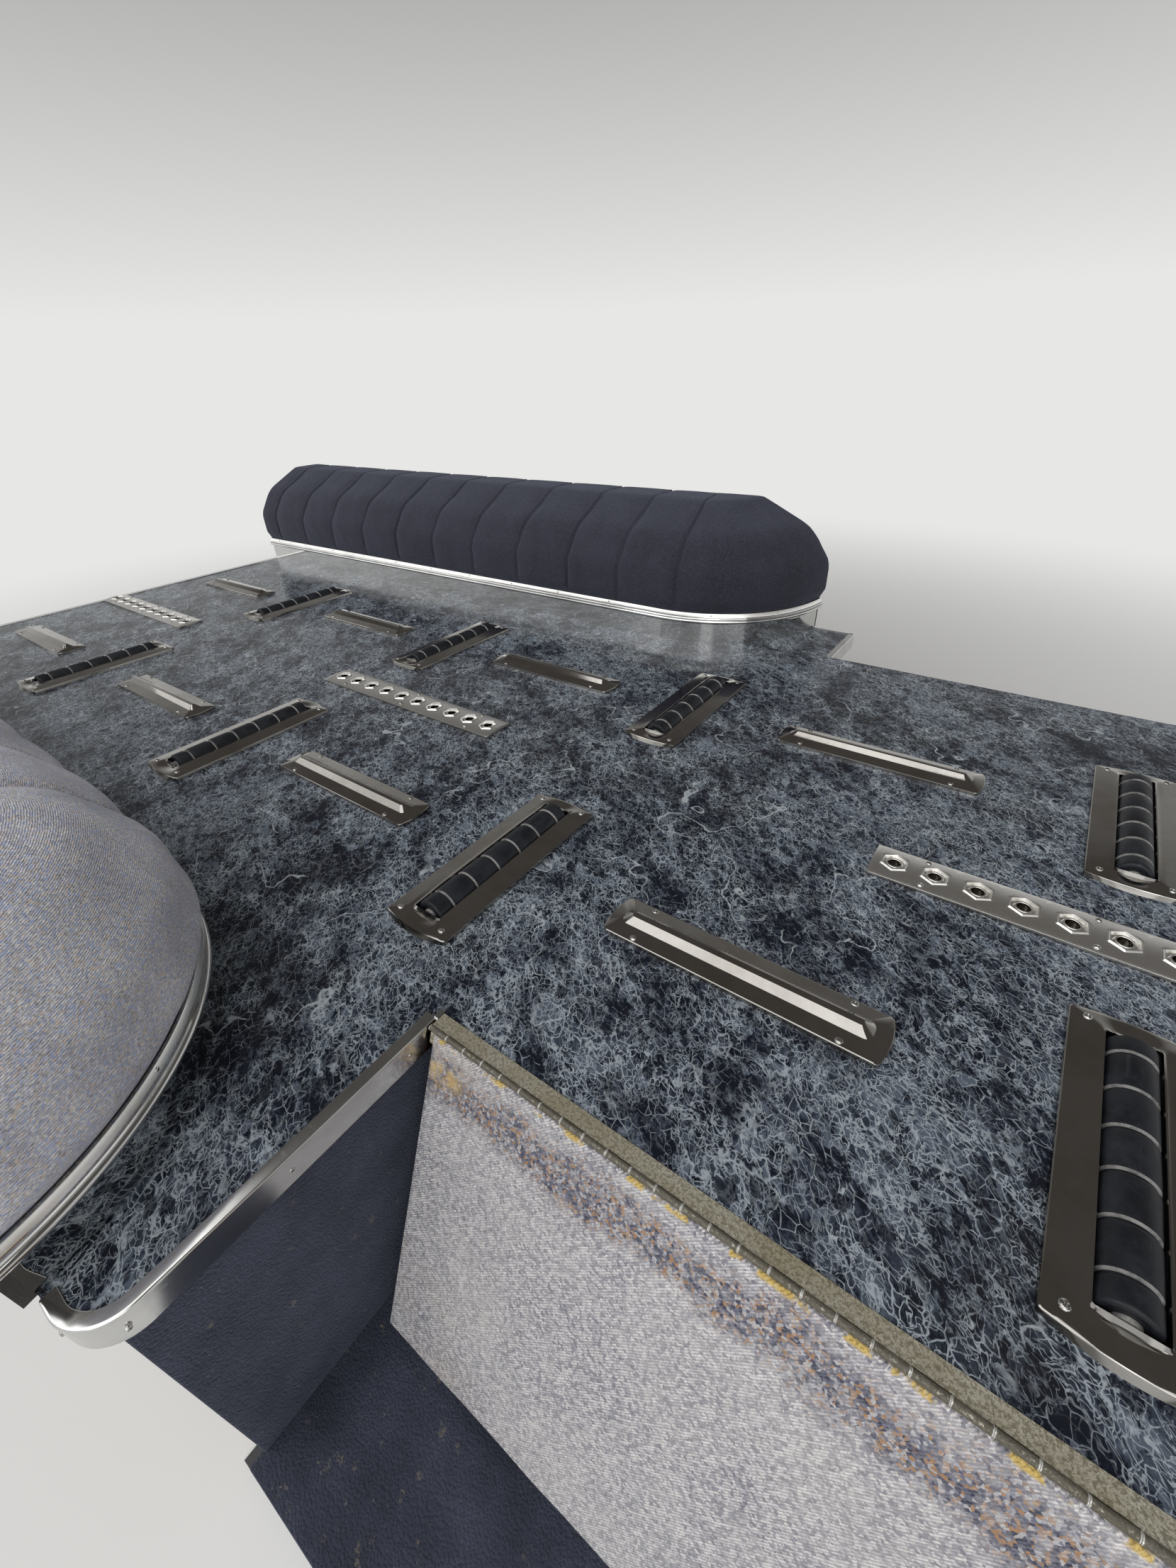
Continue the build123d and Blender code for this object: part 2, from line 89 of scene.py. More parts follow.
def cloud(place, scale, detail=4.0, rough=0.55):
    values = {"Vector": place, "Scale": scale, "Detail": detail, "Roughness": rough}
    return addNode("ShaderNodeTexNoise", values).outputs[0]


def bent(place, scale, amount, detail=4.0):
    values = {"Vector": place, "Scale": scale, "Detail": detail, "Roughness": 0.6}
    wander = addNode("ShaderNodeTexNoise", values).outputs["Color"]
    push = addNode("ShaderNodeVectorMath", {0: wander, 1: (amount, amount, amount), 2: place},
                   operation="MULTIPLY_ADD")
    return push.outputs[0]


def spread(value, low, high, start=0.0, end=1.0):
    node = addNode("ShaderNodeMapRange", {"Value": value, "From Min": low, "From Max": high,
                                                "To Min": start, "To Max": end})
    return node.outputs[0]


def blend(factor, first, second):
    # The sockets of a mix node for colours are 0, 6 and 7, and its outcome is 2
    first, second = ((*color, 1) if isinstance(color, tuple) else color for color in (first, second))
    return addNode("ShaderNodeMix", {0: factor, 6: first, 7: second}, data_type="RGBA").outputs[2]


def calc(operation, first, second=0.0):
    return addNode("ShaderNodeMath", {0: first, 1: second}, operation=operation).outputs[0]


def times(first, second):
    return calc("MULTIPLY", first, second)


def minus(first, second):
    return calc("SUBTRACT", first, second)


def larger(first, second):
    return calc("MAXIMUM", first, second)


def plus(total, *values):
    for value in values:
        total = calc("ADD", total, value)
    return total


def offFrom(value, middle):
    return calc("ABSOLUTE", minus(value, middle))


def squares(first, second):
    return plus(times(first, first), times(second, second))


def axesOf(place):
    return addNode("ShaderNodeSeparateXYZ", {0: place}).outputs


def cellsOf(place, scale):
    # Three random tones of each cell, and how far a point is from its cell's middle
    cells = addNode("ShaderNodeTexVoronoi", {"Vector": place, "Scale": scale}).outputs
    return addNode("ShaderNodeSeparateColor", {0: cells["Color"]}).outputs, cells["Distance"]


def setBump(height, depth, strength=1.0):
    bump = addNode("ShaderNodeBump", {"Height": height, "Distance": depth, "Strength": strength})
    join(bump.outputs[0], "Normal")


# Materials

def marbleLaminate():
    # Navy marble pattern: crushed dark stone in a pale blue-grey crackle, with a few long wandering veins
    look = {
        "night": (0.009, 0.011, 0.019), "slate": (0.034, 0.043, 0.063), "mist": (0.102, 0.124, 0.160),
        "thread": (0.40, 0.45, 0.49), "vein": (0.40, 0.44, 0.47), "umber": (0.026, 0.025, 0.027),
        "turn": 0.75, "squeeze": 1.55,
        # scale, turn and middle level
        "threads": [(42.0, 0.0, 0.50), (58.0, 1.1, 0.46), (24.0, 2.3, 0.53)],
        # scale, size, share left out, strength
        "stones": [(34.0, 0.34, 0.78, 0.75), (60.0, 0.30, 0.86, 0.7), (135.0, 0.26, 0.86, 0.8)],
    }
    place = startMaterial("marbleLaminate", Specular_IOR_Level=0.21)
    warped = bent(stretched(place, (1, 1, 1), (0, 0, look["turn"])), 16.0, 0.022, 4.0)
    warped = stretched(warped, (1, look["squeeze"], 1))
    rubbed = bent(warped, 55.0, 0.0034, 2.0)
    drift = spread(cloud(place, 3.6, 6.0, 0.62), 0.34, 0.66, -0.09, 0.09)
    patch = cloud(warped, 13.0, 6.0, 0.62)
    level = plus(drift, spread(patch, 0.34, 0.66, -0.10, 0.08))

    def cracks(scale, width, strength, mask):
        edge = addNode("ShaderNodeTexVoronoi", {"Vector": rubbed, "Scale": scale}, feature="DISTANCE_TO_EDGE")
        return times(spread(edge.outputs["Distance"], width * 0.15, width, strength, 0.0), mask)

    big = cellsOf(rubbed, 52.0)[0]
    small = cellsOf(rubbed, 120.0)[0]
    grain = cloud(rubbed, 90.0, 9.0, 0.78)
    tone = plus(times(grain, 1.15), times(big[0], 0.12), times(small[0], 0.07), level)
    ground = blend(spread(tone, 0.58, 0.68), look["night"], look["slate"])
    ground = blend(spread(tone, 0.73, 0.87), ground, look["mist"])
    # Pale flakes with ragged edges
    flake = times(spread(big[1], 0.80, 0.81), spread(tone, 0.60, 0.66, 0.0, 0.9))
    ground = blend(flake, ground, look["mist"])
    tint = spread(cloud(place, 6.5, 4.0, 0.6), 0.52, 0.66, 0.0, 0.4)
    ground = blend(tint, ground, look["umber"])
    # Two nets of crackle where the stone is torn and where it isn't, then single threads
    torn = cloud(rubbed, 38.0, 5.0, 0.65)
    fine = times(spread(torn, 0.45, 0.52), spread(tone, 0.55, 0.66))
    lines = larger(cracks(130.0, 0.075, 0.68, fine), cracks(62.0, 0.040, 0.95, spread(torn, 0.54, 0.46)))
    for scale, turn, middle in look["threads"]:
        thread = cloud(stretched(rubbed, (1, 1, 1), (0, 0, turn)), scale, 2.5, 0.5)
        thread = spread(offFrom(thread, middle), 0.003, 0.016, 0.85, 0.0)
        lines = larger(lines, times(thread, spread(patch, 0.38, 0.52)))
    # Round dark stones and spots lie over the crackle
    dark = 0.0
    for scale, size, few, strength in look["stones"]:
        tones, distance = cellsOf(warped, scale)
        picked = spread(tones[0], few, few + 0.01, 0.0, strength)
        dark = larger(times(spread(distance, size, size - 0.05), picked), dark)
    ground = blend(times(lines, spread(level, -0.14, 0.02, 0.35, 1.0)), ground, look["thread"])
    ground = blend(dark, ground, look["night"])
    wander = cloud(bent(place, 30.0, 0.018, 4.0), 5.2, 3.0, 0.5)
    vein = spread(offFrom(wander, 0.53), 0.0009, 0.0032, 0.95, 0.0)
    vein = times(vein, spread(cloud(place, 8.5, 3.0), 0.46, 0.54))
    join(blend(vein, ground, look["vein"]), "Base Color")
    scratches = cloud(stretched(place, (7, 260, 7), (0, 0, 0.2)), 3.0, 3.0, 0.7)
    haze = plus(spread(cloud(place, 6.0, 5.0, 0.7), 0.35, 0.7, 0.12, 0.22),
                spread(scratches, 0.62, 0.70, 0.0, 0.12))
    join(haze, "Roughness")
    setBump(cloud(place, 120.0, 2.0), 0.00005)


def polishedMetal(name, tint, stain, smoothness, streak, wave, haze=0.07):
    # The bright and the clouded colour, the way the polish runs, how wavy the face is, and how worn
    place = startMaterial(name, Metallic=1.0)
    cloudy = cloud(place, 11.0, 6.0, 0.65)
    join(blend(spread(cloudy, 0.42, 0.72), tint, stain), "Base Color")
    lines = cloud(stretched(place, streak), 4.0, 4.0, 0.7)
    rough = plus(spread(cloudy, 0.35, 0.75, smoothness, smoothness + haze),
                 spread(lines, 0.60, 0.72, 0.0, haze * 1.3))
    join(rough, "Roughness")
    waves = times(cloud(place, 18.0, 1.0), wave)
    setBump(plus(waves, times(lines, 0.015)), 0.0006)


def rollerRubber():
    place = startMaterial("rollerRubber", Specular_IOR_Level=0.3)
    dust = spread(cloud(place, 38.0, 7.0, 0.7), 0.42, 0.74)
    scuff = spread(cloud(stretched(place, (90, 12, 90)), 2.0, 3.0), 0.60, 0.72, 0.0, 0.5)
    pale = larger(times(dust, 0.5), scuff)
    join(blend(pale, (0.009, 0.010, 0.013), (0.038, 0.042, 0.052)), "Base Color")
    join(spread(dust, 0.0, 1.0, 0.42, 0.66), "Roughness")
    setBump(cloud(place, 420.0, 2.0), 0.00012)


def paintedSheenRubber():
    # The pale bands on the shoulders of the grooves: painted sheen where the rounded shoulders catch the light
    place = startMaterial("paintedSheenRubber", Roughness=0.6)
    patch = spread(cloud(place, 95.0, 5.0, 0.7), 0.34, 0.56)
    join(blend(patch, (0.060, 0.060, 0.060), (0.215, 0.212, 0.205)), "Base Color")
    setBump(cloud(place, 300.0, 3.0), 0.00015)


rowDensity = 2400.0      # radians of a row of weave or loops for each metre


def coverVelour(name, deep, pile, fleck, rust):
    # Woven velour: fine rows that follow the cover, short strokes where the pile lies over, a few coloured flecks
    place = startMaterial(name, Roughness=0.92, Sheen_Weight=0.2, Sheen_Roughness=0.45,
                          Sheen_Tint=(0.55, 0.62, 0.85, 1))
    axes = axesOf(place)
    ahead = larger(minus(axes["X"], cornerX / 1000), 0.0)
    aside = minus((coverFace + cornerRadius) / 1000, calc("ABSOLUTE", axes["Y"]))
    height = minus(axes["Z"], calc("SQRT", squares(ahead, aside)))
    waver = times(cloud(place, 90.0, 3.0, 0.6), 9.0)
    rows = calc("SINE", plus(times(height, rowDensity), waver))
    strokes = cloud(stretched(place, (5, 5, 2.2), (0, 0, 0.3)), 2.4, 5.0, 0.62)
    grain = cloud(stretched(place, (1, 1, 2.5)), 330.0, 3.0, 0.65)
    mixed = plus(times(strokes, 0.35), times(grain, 0.65), times(rows, 0.035))
    color = blend(spread(mixed, 0.40, 0.60), deep, pile)
    pick = cellsOf(stretched(place, (1, 1, 2)), 480.0)[0]
    color = blend(spread(pick[0], 0.72, 0.82, 0.0, 0.75), color, fleck)
    color = blend(spread(pick[1], 0.88, 0.94, 0.0, 0.6), color, rust)
    join(color, "Base Color")
    lift = plus(times(rows, 0.35), times(cloud(place, 60.0, 4.0, 0.6), 1.3), grain)
    setBump(lift, 0.0009, 0.75)


def tweedCarpet():
    # Loop carpet in slanting rows, lifted toward its sunlit look as painted sunlight, and darker along the hinge as
    # painted shade, with rust flecks
    look = {
        "slant": (0.677, -0.2826, -0.6793),
        # The loops' pale tones are painted sunlight, the darker tone between the rows is painted shade, and the loops
        # by the hinge are painted shade
        "loops": [(0.205, 0.203, 0.240), (0.77, 0.745, 0.735)], "paintedFurrowShade": (0.190, 0.190, 0.245),
        "paintedShadeLoops": [(0.035, 0.038, 0.070), (0.165, 0.170, 0.225)], "rust": (0.40, 0.22, 0.095),
        "bleached": (0.68, 0.66, 0.63), "lint": (0.50, 0.50, 0.52),
        "stain": (0.46, 0.38, 0.26), "spot": (0.60, 0.40, 0.12), "backing": (0.62, 0.43, 0.09),
        # metres: the heights of the band of painted shade along the hinge and of the fray, and the orange spot's place
        # and size
        "bandHeight": 0.409, "fray": (0.4062, 0.4085),
        "spotX": 0.664, "spotZ": 0.375, "spotWide": 0.030, "spotHigh": 0.014,
    }
    place = startMaterial("tweedCarpet", Roughness=0.95, Sheen_Weight=0.15, Sheen_Roughness=0.5)
    across = addNode("ShaderNodeVectorMath", {0: place, 1: look["slant"]}, operation="DOT_PRODUCT")
    waver = times(cloud(place, 46.0, 3.0, 0.6), 5.0)
    rows = calc("SINE", plus(times(across.outputs["Value"], rowDensity), waver))
    pick, loop = cellsOf(bent(place, 200.0, 0.002, 2.0), 360.0)
    drift = cloud(place, 6.0, 6.0, 0.62)
    pale = blend(pick[0], *look["loops"])
    # Darker between the rows: painted shade in the furrows
    pale = blend(spread(rows, 0.1, -0.8, 0.0, 0.55), pale, look["paintedFurrowShade"])
    pale = blend(spread(drift, 0.42, 0.62, 0.0, 0.25), pale, look["bleached"])
    dark = blend(pick[0], *look["paintedShadeLoops"])
    dark = blend(spread(pick[1], 0.70, 0.78, 0.0, 0.85), dark, look["rust"])
    dark = blend(spread(pick[2], 0.80, 0.86, 0.0, 0.8), dark, look["lint"])
    axes = axesOf(place)
    # Along the hinge the loops turn dark, painted shade, with the carpet's own rust and lint flecks
    ragged = plus(axes["Z"], times(cloud(place, 13.0, 6.0, 0.65), 0.075))
    band = spread(offFrom(ragged, look["bandHeight"]), 0.032, 0.014)
    worn = times(band, spread(cloud(place, 85.0, 5.0, 0.7), 0.38, 0.54, 0.35, 1.0))
    color = blend(worn, pale, dark)
    stain = spread(cloud(place, 5.0, 3.0), 0.56, 0.70, 0.0, 0.2)
    color = blend(stain, color, look["stain"])
    sideways = calc("DIVIDE", minus(axes["X"], look["spotX"]), look["spotWide"])
    down = calc("DIVIDE", minus(axes["Z"], look["spotZ"]), look["spotHigh"])
    spot = spread(squares(sideways, down), 1.2, 0.2)
    spot = times(spot, spread(cloud(place, 90.0, 5.0, 0.7), 0.40, 0.56))
    color = blend(times(spot, 0.8), color, look["spot"])
    # The backing's yellow threads fray out in places just under the knuckles
    torn = spread(cloud(place, 48.0, 4.0, 0.6), 0.52, 0.58)
    frayed = times(spread(axes["Z"], *look["fray"]), torn)
    color = blend(times(frayed, 0.85), color, look["backing"])
    join(color, "Base Color")
    setBump(minus(times(rows, 0.4), times(loop, 1.6)), 0.0014, 0.8)


def navyPile():
    place = startMaterial("navyPile", Roughness=0.97, Sheen_Weight=0.15, Sheen_Roughness=0.55,
                          Sheen_Tint=(0.5, 0.56, 0.8, 1))
    pick, tuft = cellsOf(bent(place, 90.0, 0.004), 330.0)
    lie = cloud(place, 9.0, 6.0, 0.65)
    # The dark navy is painted shade: the carpet is drawn as dark as it looks in shade
    color = blend(spread(lie, 0.36, 0.66), (0.014, 0.017, 0.030), (0.048, 0.056, 0.085))
    color = blend(times(pick[0], 0.5), color, (0.022, 0.026, 0.042))
    lint = spread(cloud(place, 60.0, 5.0, 0.7), 0.63, 0.70, 0.0, 0.5)
    join(blend(lint, color, (0.20, 0.17, 0.13)), "Base Color")
    setBump(plus(times(tuft, -1.0), times(lie, 0.3)), 0.0018, 0.8)


def hingeBrass():
    # Plated hinge worn to bare brass and grained with corrosion; the barrels are dark with bright ends
    look = {
        "plating": (0.70, 0.67, 0.56), "brass": (0.55, 0.50, 0.37), "corrosion": (0.190, 0.165, 0.105),
        "barrel": (0.150, 0.140, 0.118), "knuckleEnd": (0.80, 0.79, 0.75),
        "barrelEdge": 0.0038, "knuckleStart": 0.634, "knuckle": 0.0254,      # metres
    }
    place = startMaterial("hingeBrass", Metallic=0.9)
    rust = spread(cloud(place, 300.0, 8.0, 0.8), 0.44, 0.54)
    blotch = spread(cloud(place, 17.0, 5.0, 0.6), 0.40, 0.64)
    color = blend(blotch, look["plating"], look["brass"])
    color = blend(times(rust, 0.75), color, look["corrosion"])
    axes = axesOf(place)
    rise = minus(axes["Z"], hingeAxis[1] / 1000)
    out = minus(axes["Y"], hingeAxis[0] / 1000)
    axisGap = calc("SQRT", squares(rise, out))
    barrel = spread(axisGap, look["barrelEdge"], look["barrelEdge"] - 0.0004)
    color = blend(times(barrel, 0.8), color, look["barrel"])
    along = calc("DIVIDE", minus(axes["X"], look["knuckleStart"]), look["knuckle"])
    tick = spread(offFrom(calc("FRACT", along), 0.5), 0.455, 0.475)
    color = blend(times(tick, barrel), color, look["knuckleEnd"])
    join(color, "Base Color")
    join(spread(rust, 0.0, 1.0, 0.30, 0.62), "Roughness")
    setBump(plus(rust, cloud(place, 400.0, 3.0)), 0.0003, 0.7)


def boardGrain(name, pale, dark, along):
    place = startMaterial(name, Roughness=0.68)
    values = {"Vector": bent(stretched(place, along), 2.4, 0.20), "Scale": 2.6,
              "Distortion": 5.0, "Detail": 4.0, "Detail Scale": 1.6}
    rings = addNode("ShaderNodeTexWave", values).outputs["Fac"]
    fibre = cloud(stretched(place, tuple(v * 9 for v in along)), 16.0, 4.0, 0.7)
    color = blend(rings, pale, dark)
    color = blend(spread(fibre, 0.55, 0.75, 0.0, 0.6), color, dark)
    join(color, "Base Color")
    setBump(fibre, 0.0004)


def zincSteel():
    place = startMaterial("zincSteel", Metallic=1.0)
    pick = cellsOf(place, 90.0)[0]
    join(blend(pick[0], (0.44, 0.44, 0.43), (0.60, 0.60, 0.58)), "Base Color")
    join(spread(cloud(place, 25.0, 5.0), 0.3, 0.7, 0.30, 0.52), "Roughness")
    setBump(cloud(place, 240.0, 3.0), 0.00015)


def framePaint():
    # Black chassis paint, slightly orange-peeled, with patches of dust
    place = startMaterial("framePaint")
    dust = spread(cloud(place, 8.0, 8.0, 0.7), 0.46, 0.74, 0.0, 0.5)
    join(blend(dust, (0.034, 0.034, 0.037), (0.105, 0.10, 0.09)), "Base Color")
    join(spread(dust, 0.0, 0.5, 0.36, 0.62), "Roughness")
    setBump(cloud(place, 310.0, 2.0), 0.00022)


def hubNylon():
    place = startMaterial("hubNylon", Roughness=0.5)
    grime = spread(cloud(place, 130.0, 5.0, 0.7), 0.38, 0.64)
    join(blend(grime, (0.27, 0.265, 0.25), (0.10, 0.10, 0.098)), "Base Color")


metals = {
    # name, bright colour, clouded colour, smoothness, streak, wave
    "casting": ("chromeCasting", (0.42, 0.405, 0.38), (0.31, 0.29, 0.265), 0.07, (30, 4, 30), 0.22),
    # The darker end casting is a painted reflection of the dark deck, for the bezels' end walls
    "castingEnd": ("chromeCastingEnd", (0.17, 0.165, 0.155), (0.11, 0.105, 0.10), 0.12, (30, 4, 30), 0.22),
    "bead": ("chromeBead", (0.68, 0.68, 0.67), (0.50, 0.50, 0.49), 0.07, (4, 40, 40), 0.3),
    "railLip": ("railLip", (0.84, 0.84, 0.82), (0.66, 0.66, 0.64), 0.30, (6, 60, 60), 0.8),
    "mirror": ("mirrorBand", (0.64, 0.64, 0.63), (0.54, 0.54, 0.53), 0.02, (3, 50, 50), 0.5, 0.025),
    "nosing": ("nosingMetal", (0.64, 0.64, 0.63), (0.44, 0.43, 0.42), 0.12, (12, 18, 60), 0.6),
    # The pale metal on the tops of the bier plates' cups is a painted highlight
    "wornEdge": ("wornEdge", (0.86, 0.85, 0.82), (0.70, 0.68, 0.64), 0.28, (30, 30, 30), 0.3),
    "screw": ("screwSteel", (0.60, 0.60, 0.58), (0.34, 0.32, 0.29), 0.20, (40, 40, 40), 0.2),
}
velours = {
    # name, the pile's depth and tips, then the two kinds of fleck
    # Both velours are one fabric; this dark one is its look in shade, painted shade
    "velour": ("coverVelour", (0.008, 0.008, 0.014), (0.027, 0.028, 0.045),
               (0.040, 0.044, 0.070), (0.038, 0.028, 0.027)),
    # This pale velour is the same fabric as it looks in sunlight, painted sunlight
    "faded": ("coverVelourFaded", (0.270, 0.266, 0.305), (0.800, 0.785, 0.790),
              (0.36, 0.44, 0.68), (0.66, 0.48, 0.31)),
}
boards = {
    # name, pale and dark grain, and how a pattern is squeezed: the grain runs along the smallest number
    "plywood": ("plywoodBoard", (0.50, 0.365, 0.22), (0.33, 0.215, 0.115), (0.6, 6, 6)),
    "plywoodAcross": ("plywoodAcross", (0.50, 0.365, 0.22), (0.33, 0.215, 0.115), (6, 0.6, 6)),
    "former": ("formerBoard", (0.052, 0.046, 0.042), (0.032, 0.028, 0.026), (1.4, 4, 4)),
}
single = {
    "marble": marbleLaminate, "rubber": rollerRubber, "worn": paintedSheenRubber, "hub": hubNylon, "tweed": tweedCarpet,
    "pile": navyPile, "brass": hingeBrass, "zinc": zincSteel, "paint": framePaint,
}
work = [(key, maker, ()) for key, maker in single.items()]
for maker, kinds in ((polishedMetal, metals), (coverVelour, velours), (boardGrain, boards)):
    work += [(key, maker, values) for key, values in kinds.items()]
for key, maker, values in work:
    maker(*values)
    finish[key] = inHand["material"]
print("materials made")


# Mesh helpers

def newBmesh():
    bm = bmesh.new()
    bm.verts.layers.int.new("station")
    return bm


def turnOut(bm):
    bmesh.ops.recalc_face_normals(bm, faces=bm.faces)


def weldUp(bm):
    bmesh.ops.remove_doubles(bm, verts=bm.verts, dist=weld)
    turnOut(bm)


def addObject(name, data):
    thing = bpy.data.objects.new(name, data)
    bpy.context.scene.collection.objects.link(thing)
    return thing


def finishPiece(name, bm, materials, node, sharp, body="root"):
    # sharp is the angle in degrees over which an edge isn't smooth; node is the solid that the piece dresses
    weldUp(bm)
    bmesh.ops.scale(bm, vec=(0.001, 0.001, 0.001), verts=bm.verts)
    mesh = bpy.data.meshes.new(name)
    bm.to_mesh(mesh)
    bm.free()
    for material in materials:
        mesh.materials.append(finish[material])
    mesh.shade_smooth()
    mesh.set_sharp_from_angle(angle=math.radians(sharp))
    piece = addObject(name, mesh)
    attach(piece, body)
    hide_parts(node)
    return piece


def moveTo(bm, offset, turn=None):
    if turn is not None:
        bmesh.ops.rotate(bm, verts=bm.verts, cent=(0, 0, 0), matrix=turn)
    bmesh.ops.translate(bm, verts=bm.verts, vec=offset)


def outlineStations(cornerSteps, endSteps, sideSteps):
    # One entry per vertex of a rounded rectangle: signs of the corner it belongs to, and its angle
    stations = []
    corners = [(1, 1), (-1, 1), (-1, -1), (1, -1)]
    for turn, (sx, sy) in enumerate(corners):
        nextX, nextY = corners[(turn + 1) % 4]
        for step in range(cornerSteps + 1):
            stations.append((sx, sy, math.radians(90 * (turn + step / cornerSteps))))
        steps = sideSteps if nextX == sx else endSteps
        for step in range(1, steps):
            part = step / steps
            stations.append((sx + (nextX - sx) * part, sy + (nextY - sy) * part, math.radians(90 * (turn + 1))))
    return stations


def outlinePoint(station, length, width, radius, bulge, z):
    sx, sy, angle = station
    x = sx * (width / 2 - radius) + radius * math.cos(angle)
    y = sy * (length / 2 - bulge - radius) + radius * math.sin(angle)
    if abs(sy) == 1:
        y += sy * bulge * (1 - (2 * x / width) ** 2)
    return Vector((x, y, z))


def startRing(bm, count, place):
    station = bm.verts.layers.int["station"]
    verts = bmesh.ops.create_circle(bm, segments=count, radius=1)["verts"]
    for index, vert in enumerate(verts):
        vert[station] = index
        vert.co = place(index)
    return list({edge for vert in verts for edge in vert.link_edges})


def onlyEdges(geom):
    return [item for item in geom if isinstance(item, bmesh.types.BMEdge)]


def grow(bm, edges, move):
    # Extrudes edges, puts each new vertex where move says, and gives the new edges back
    grown = bmesh.ops.extrude_edge_only(bm, edges=edges)["geom"]
    verts = {item for item in grown if isinstance(item, bmesh.types.BMVert)}
    for vert in verts:
        vert.co = move(vert)
    return [edge for edge in onlyEdges(grown) if set(edge.verts) <= verts]


def growRing(bm, edges, *places):
    # Extrudes a ring once for each place, which is a function of a vertex's station
    station = bm.verts.layers.int["station"]
    for place in places:
        edges = grow(bm, edges, lambda vert: place(vert[station]))
    return edges


def closeRing(bm, edges):
    bmesh.ops.contextual_create(bm, geom=edges)


def closedSection(bm, points):
    verts = [bm.verts.new(point) for point in points]
    return verts, [bm.edges.new(pair) for pair in zip(verts, verts[1:] + verts[:1])]


def slide(bm, geom, way, steps=1):
    # Sweeps geometry straight on; way is the move of one step
    return bmesh.ops.spin(bm, geom=geom, cent=(0, 0, 0), axis=(0, 0, 1), dvec=way, angle=0, steps=steps)["geom_last"]


def swing(bm, geom, middle, steps, way=1):
    # Sweeps geometry round a quarter turn; way is 1 or -1
    return bmesh.ops.spin(bm, geom=geom, cent=middle, axis=(0, 0, way), dvec=(0, 0, 0), angle=math.radians(90),
                          steps=steps)["geom_last"]


def polar(reach, angle):
    # x and y at a distance and an angle in degrees
    return reach * math.cos(math.radians(angle)), reach * math.sin(math.radians(angle))


# Oval-head screw: its foot is in the metal, and its crown has a cross of this half length, half width and depth
screwSize = {"radius": 4.3, "foot": -1.5, "rim": 0.85, "crown": 1.5, "cross": 2.4, "slot": 0.55, "deep": 1.3}


def screwMesh():
    size = screwSize
    long, thin = size["cross"], size["slot"]
    corners = [(long, -thin), (long, thin), (thin, thin), (thin, long), (-thin, long), (-thin, thin),
               (-long, thin), (-long, -thin), (-thin, -thin), (-thin, -long), (thin, -long), (thin, -thin)]

    def ringAt(share, z):
        return lambda i: Vector((*polar(size["radius"] * share, 360 / len(corners) * i - 15), z))

    def crossAt(z):
        return lambda i: Vector((*corners[i], z))

    bm = newBmesh()
    foot = startRing(bm, len(corners), ringAt(1, size["foot"]))
    rings = [ringAt(1, 0.1), ringAt(0.86, size["rim"]), ringAt(0.64, size["crown"] - 0.15)]
    closeRing(bm, growRing(bm, foot, *rings, crossAt(size["crown"]), crossAt(size["crown"] - size["deep"])))
    closeRing(bm, foot)
    turnOut(bm)
    mesh = bpy.data.meshes.new("screwPattern")
    bm.to_mesh(mesh)
    bm.free()
    return mesh


screwPattern = screwMesh()


def addScrews(bm, places, material, scale=1.0, facing=None):
    # places are (x, y, z, turn in degrees); facing turns the screws from +Z to another way
    for x, y, z, turn in places:
        older = set(bm.verts)
        bm.from_mesh(screwPattern)
        verts = [vert for vert in bm.verts if vert not in older]
        spin = Matrix.Rotation(math.radians(turn), 3, "Z")
        if facing is not None:
            spin = facing @ spin
        bmesh.ops.scale(bm, vec=(scale, scale, scale), verts=verts)
        bmesh.ops.rotate(bm, verts=verts, cent=(0, 0, 0), matrix=spin)
        bmesh.ops.translate(bm, verts=verts, vec=(x, y, z))
        for face in {face for vert in verts for face in vert.link_faces}:
            face.material_index = material


def fourScrews(spots, turn, turnX, turnY):
    dx, dy, z = spots
    return [(sx * dx, sy * dy, z, turn + turnX * sx + turnY * sy) for sx in (-1, 1) for sy in (-1, 1)]


# Roller units

bezel = {
    # length, width, corner radius, bulge of the ends, height above the deck
    "outside": [(335, 108, 3, 9.5, 0), (326.5, 107.6, 3, 5.2, 5.4), (325.2, 107.2, 3, 4.6, 6.1),
                (322, 105.4, 3, 4, 6.7)],
    "slopeSteps": 7,
    "lip": (281, 51, 5, 1, 10.2),
    "crest": (279, 49, 4, 0.6, 10.5),
    "opening": [(272, 46, 2, 0, 10.5), (271, 45, 1.6, 0, 9.9)],
    "wallEnd": 7.6,
    "pocket": (283, 55, 2, 0),
    # the relief at each end: where it starts, half width, run and depth, and the least height left under it
    "dip": {"from": 135.5, "half": 29, "run": 30, "deep": 5.4, "least": 1.7},
    "screws": (38, 147, 8.6),
    "darkReflectionEnd": {"from": 152, "top": 5.3},      # past here only the wall's lower part gets the darker casting, a painted reflection of the deck
}
rollerRows = {"x": [-857, -174, 508, 1235], "y": 284.5}


def dipDepth(x, y):
    # The thumb-shaped relief at each end of a bezel's opening
    dip = bezel["dip"]
    out = abs(y) - dip["from"]
    if abs(x) >= dip["half"] or out < -2 or out > dip["run"]:
        return 0
    across = (1 - (x / dip["half"]) ** 2) ** 1.5
    return dip["deep"] * across * math.cos(math.radians(90 * max(out, 0) / dip["run"])) ** 2


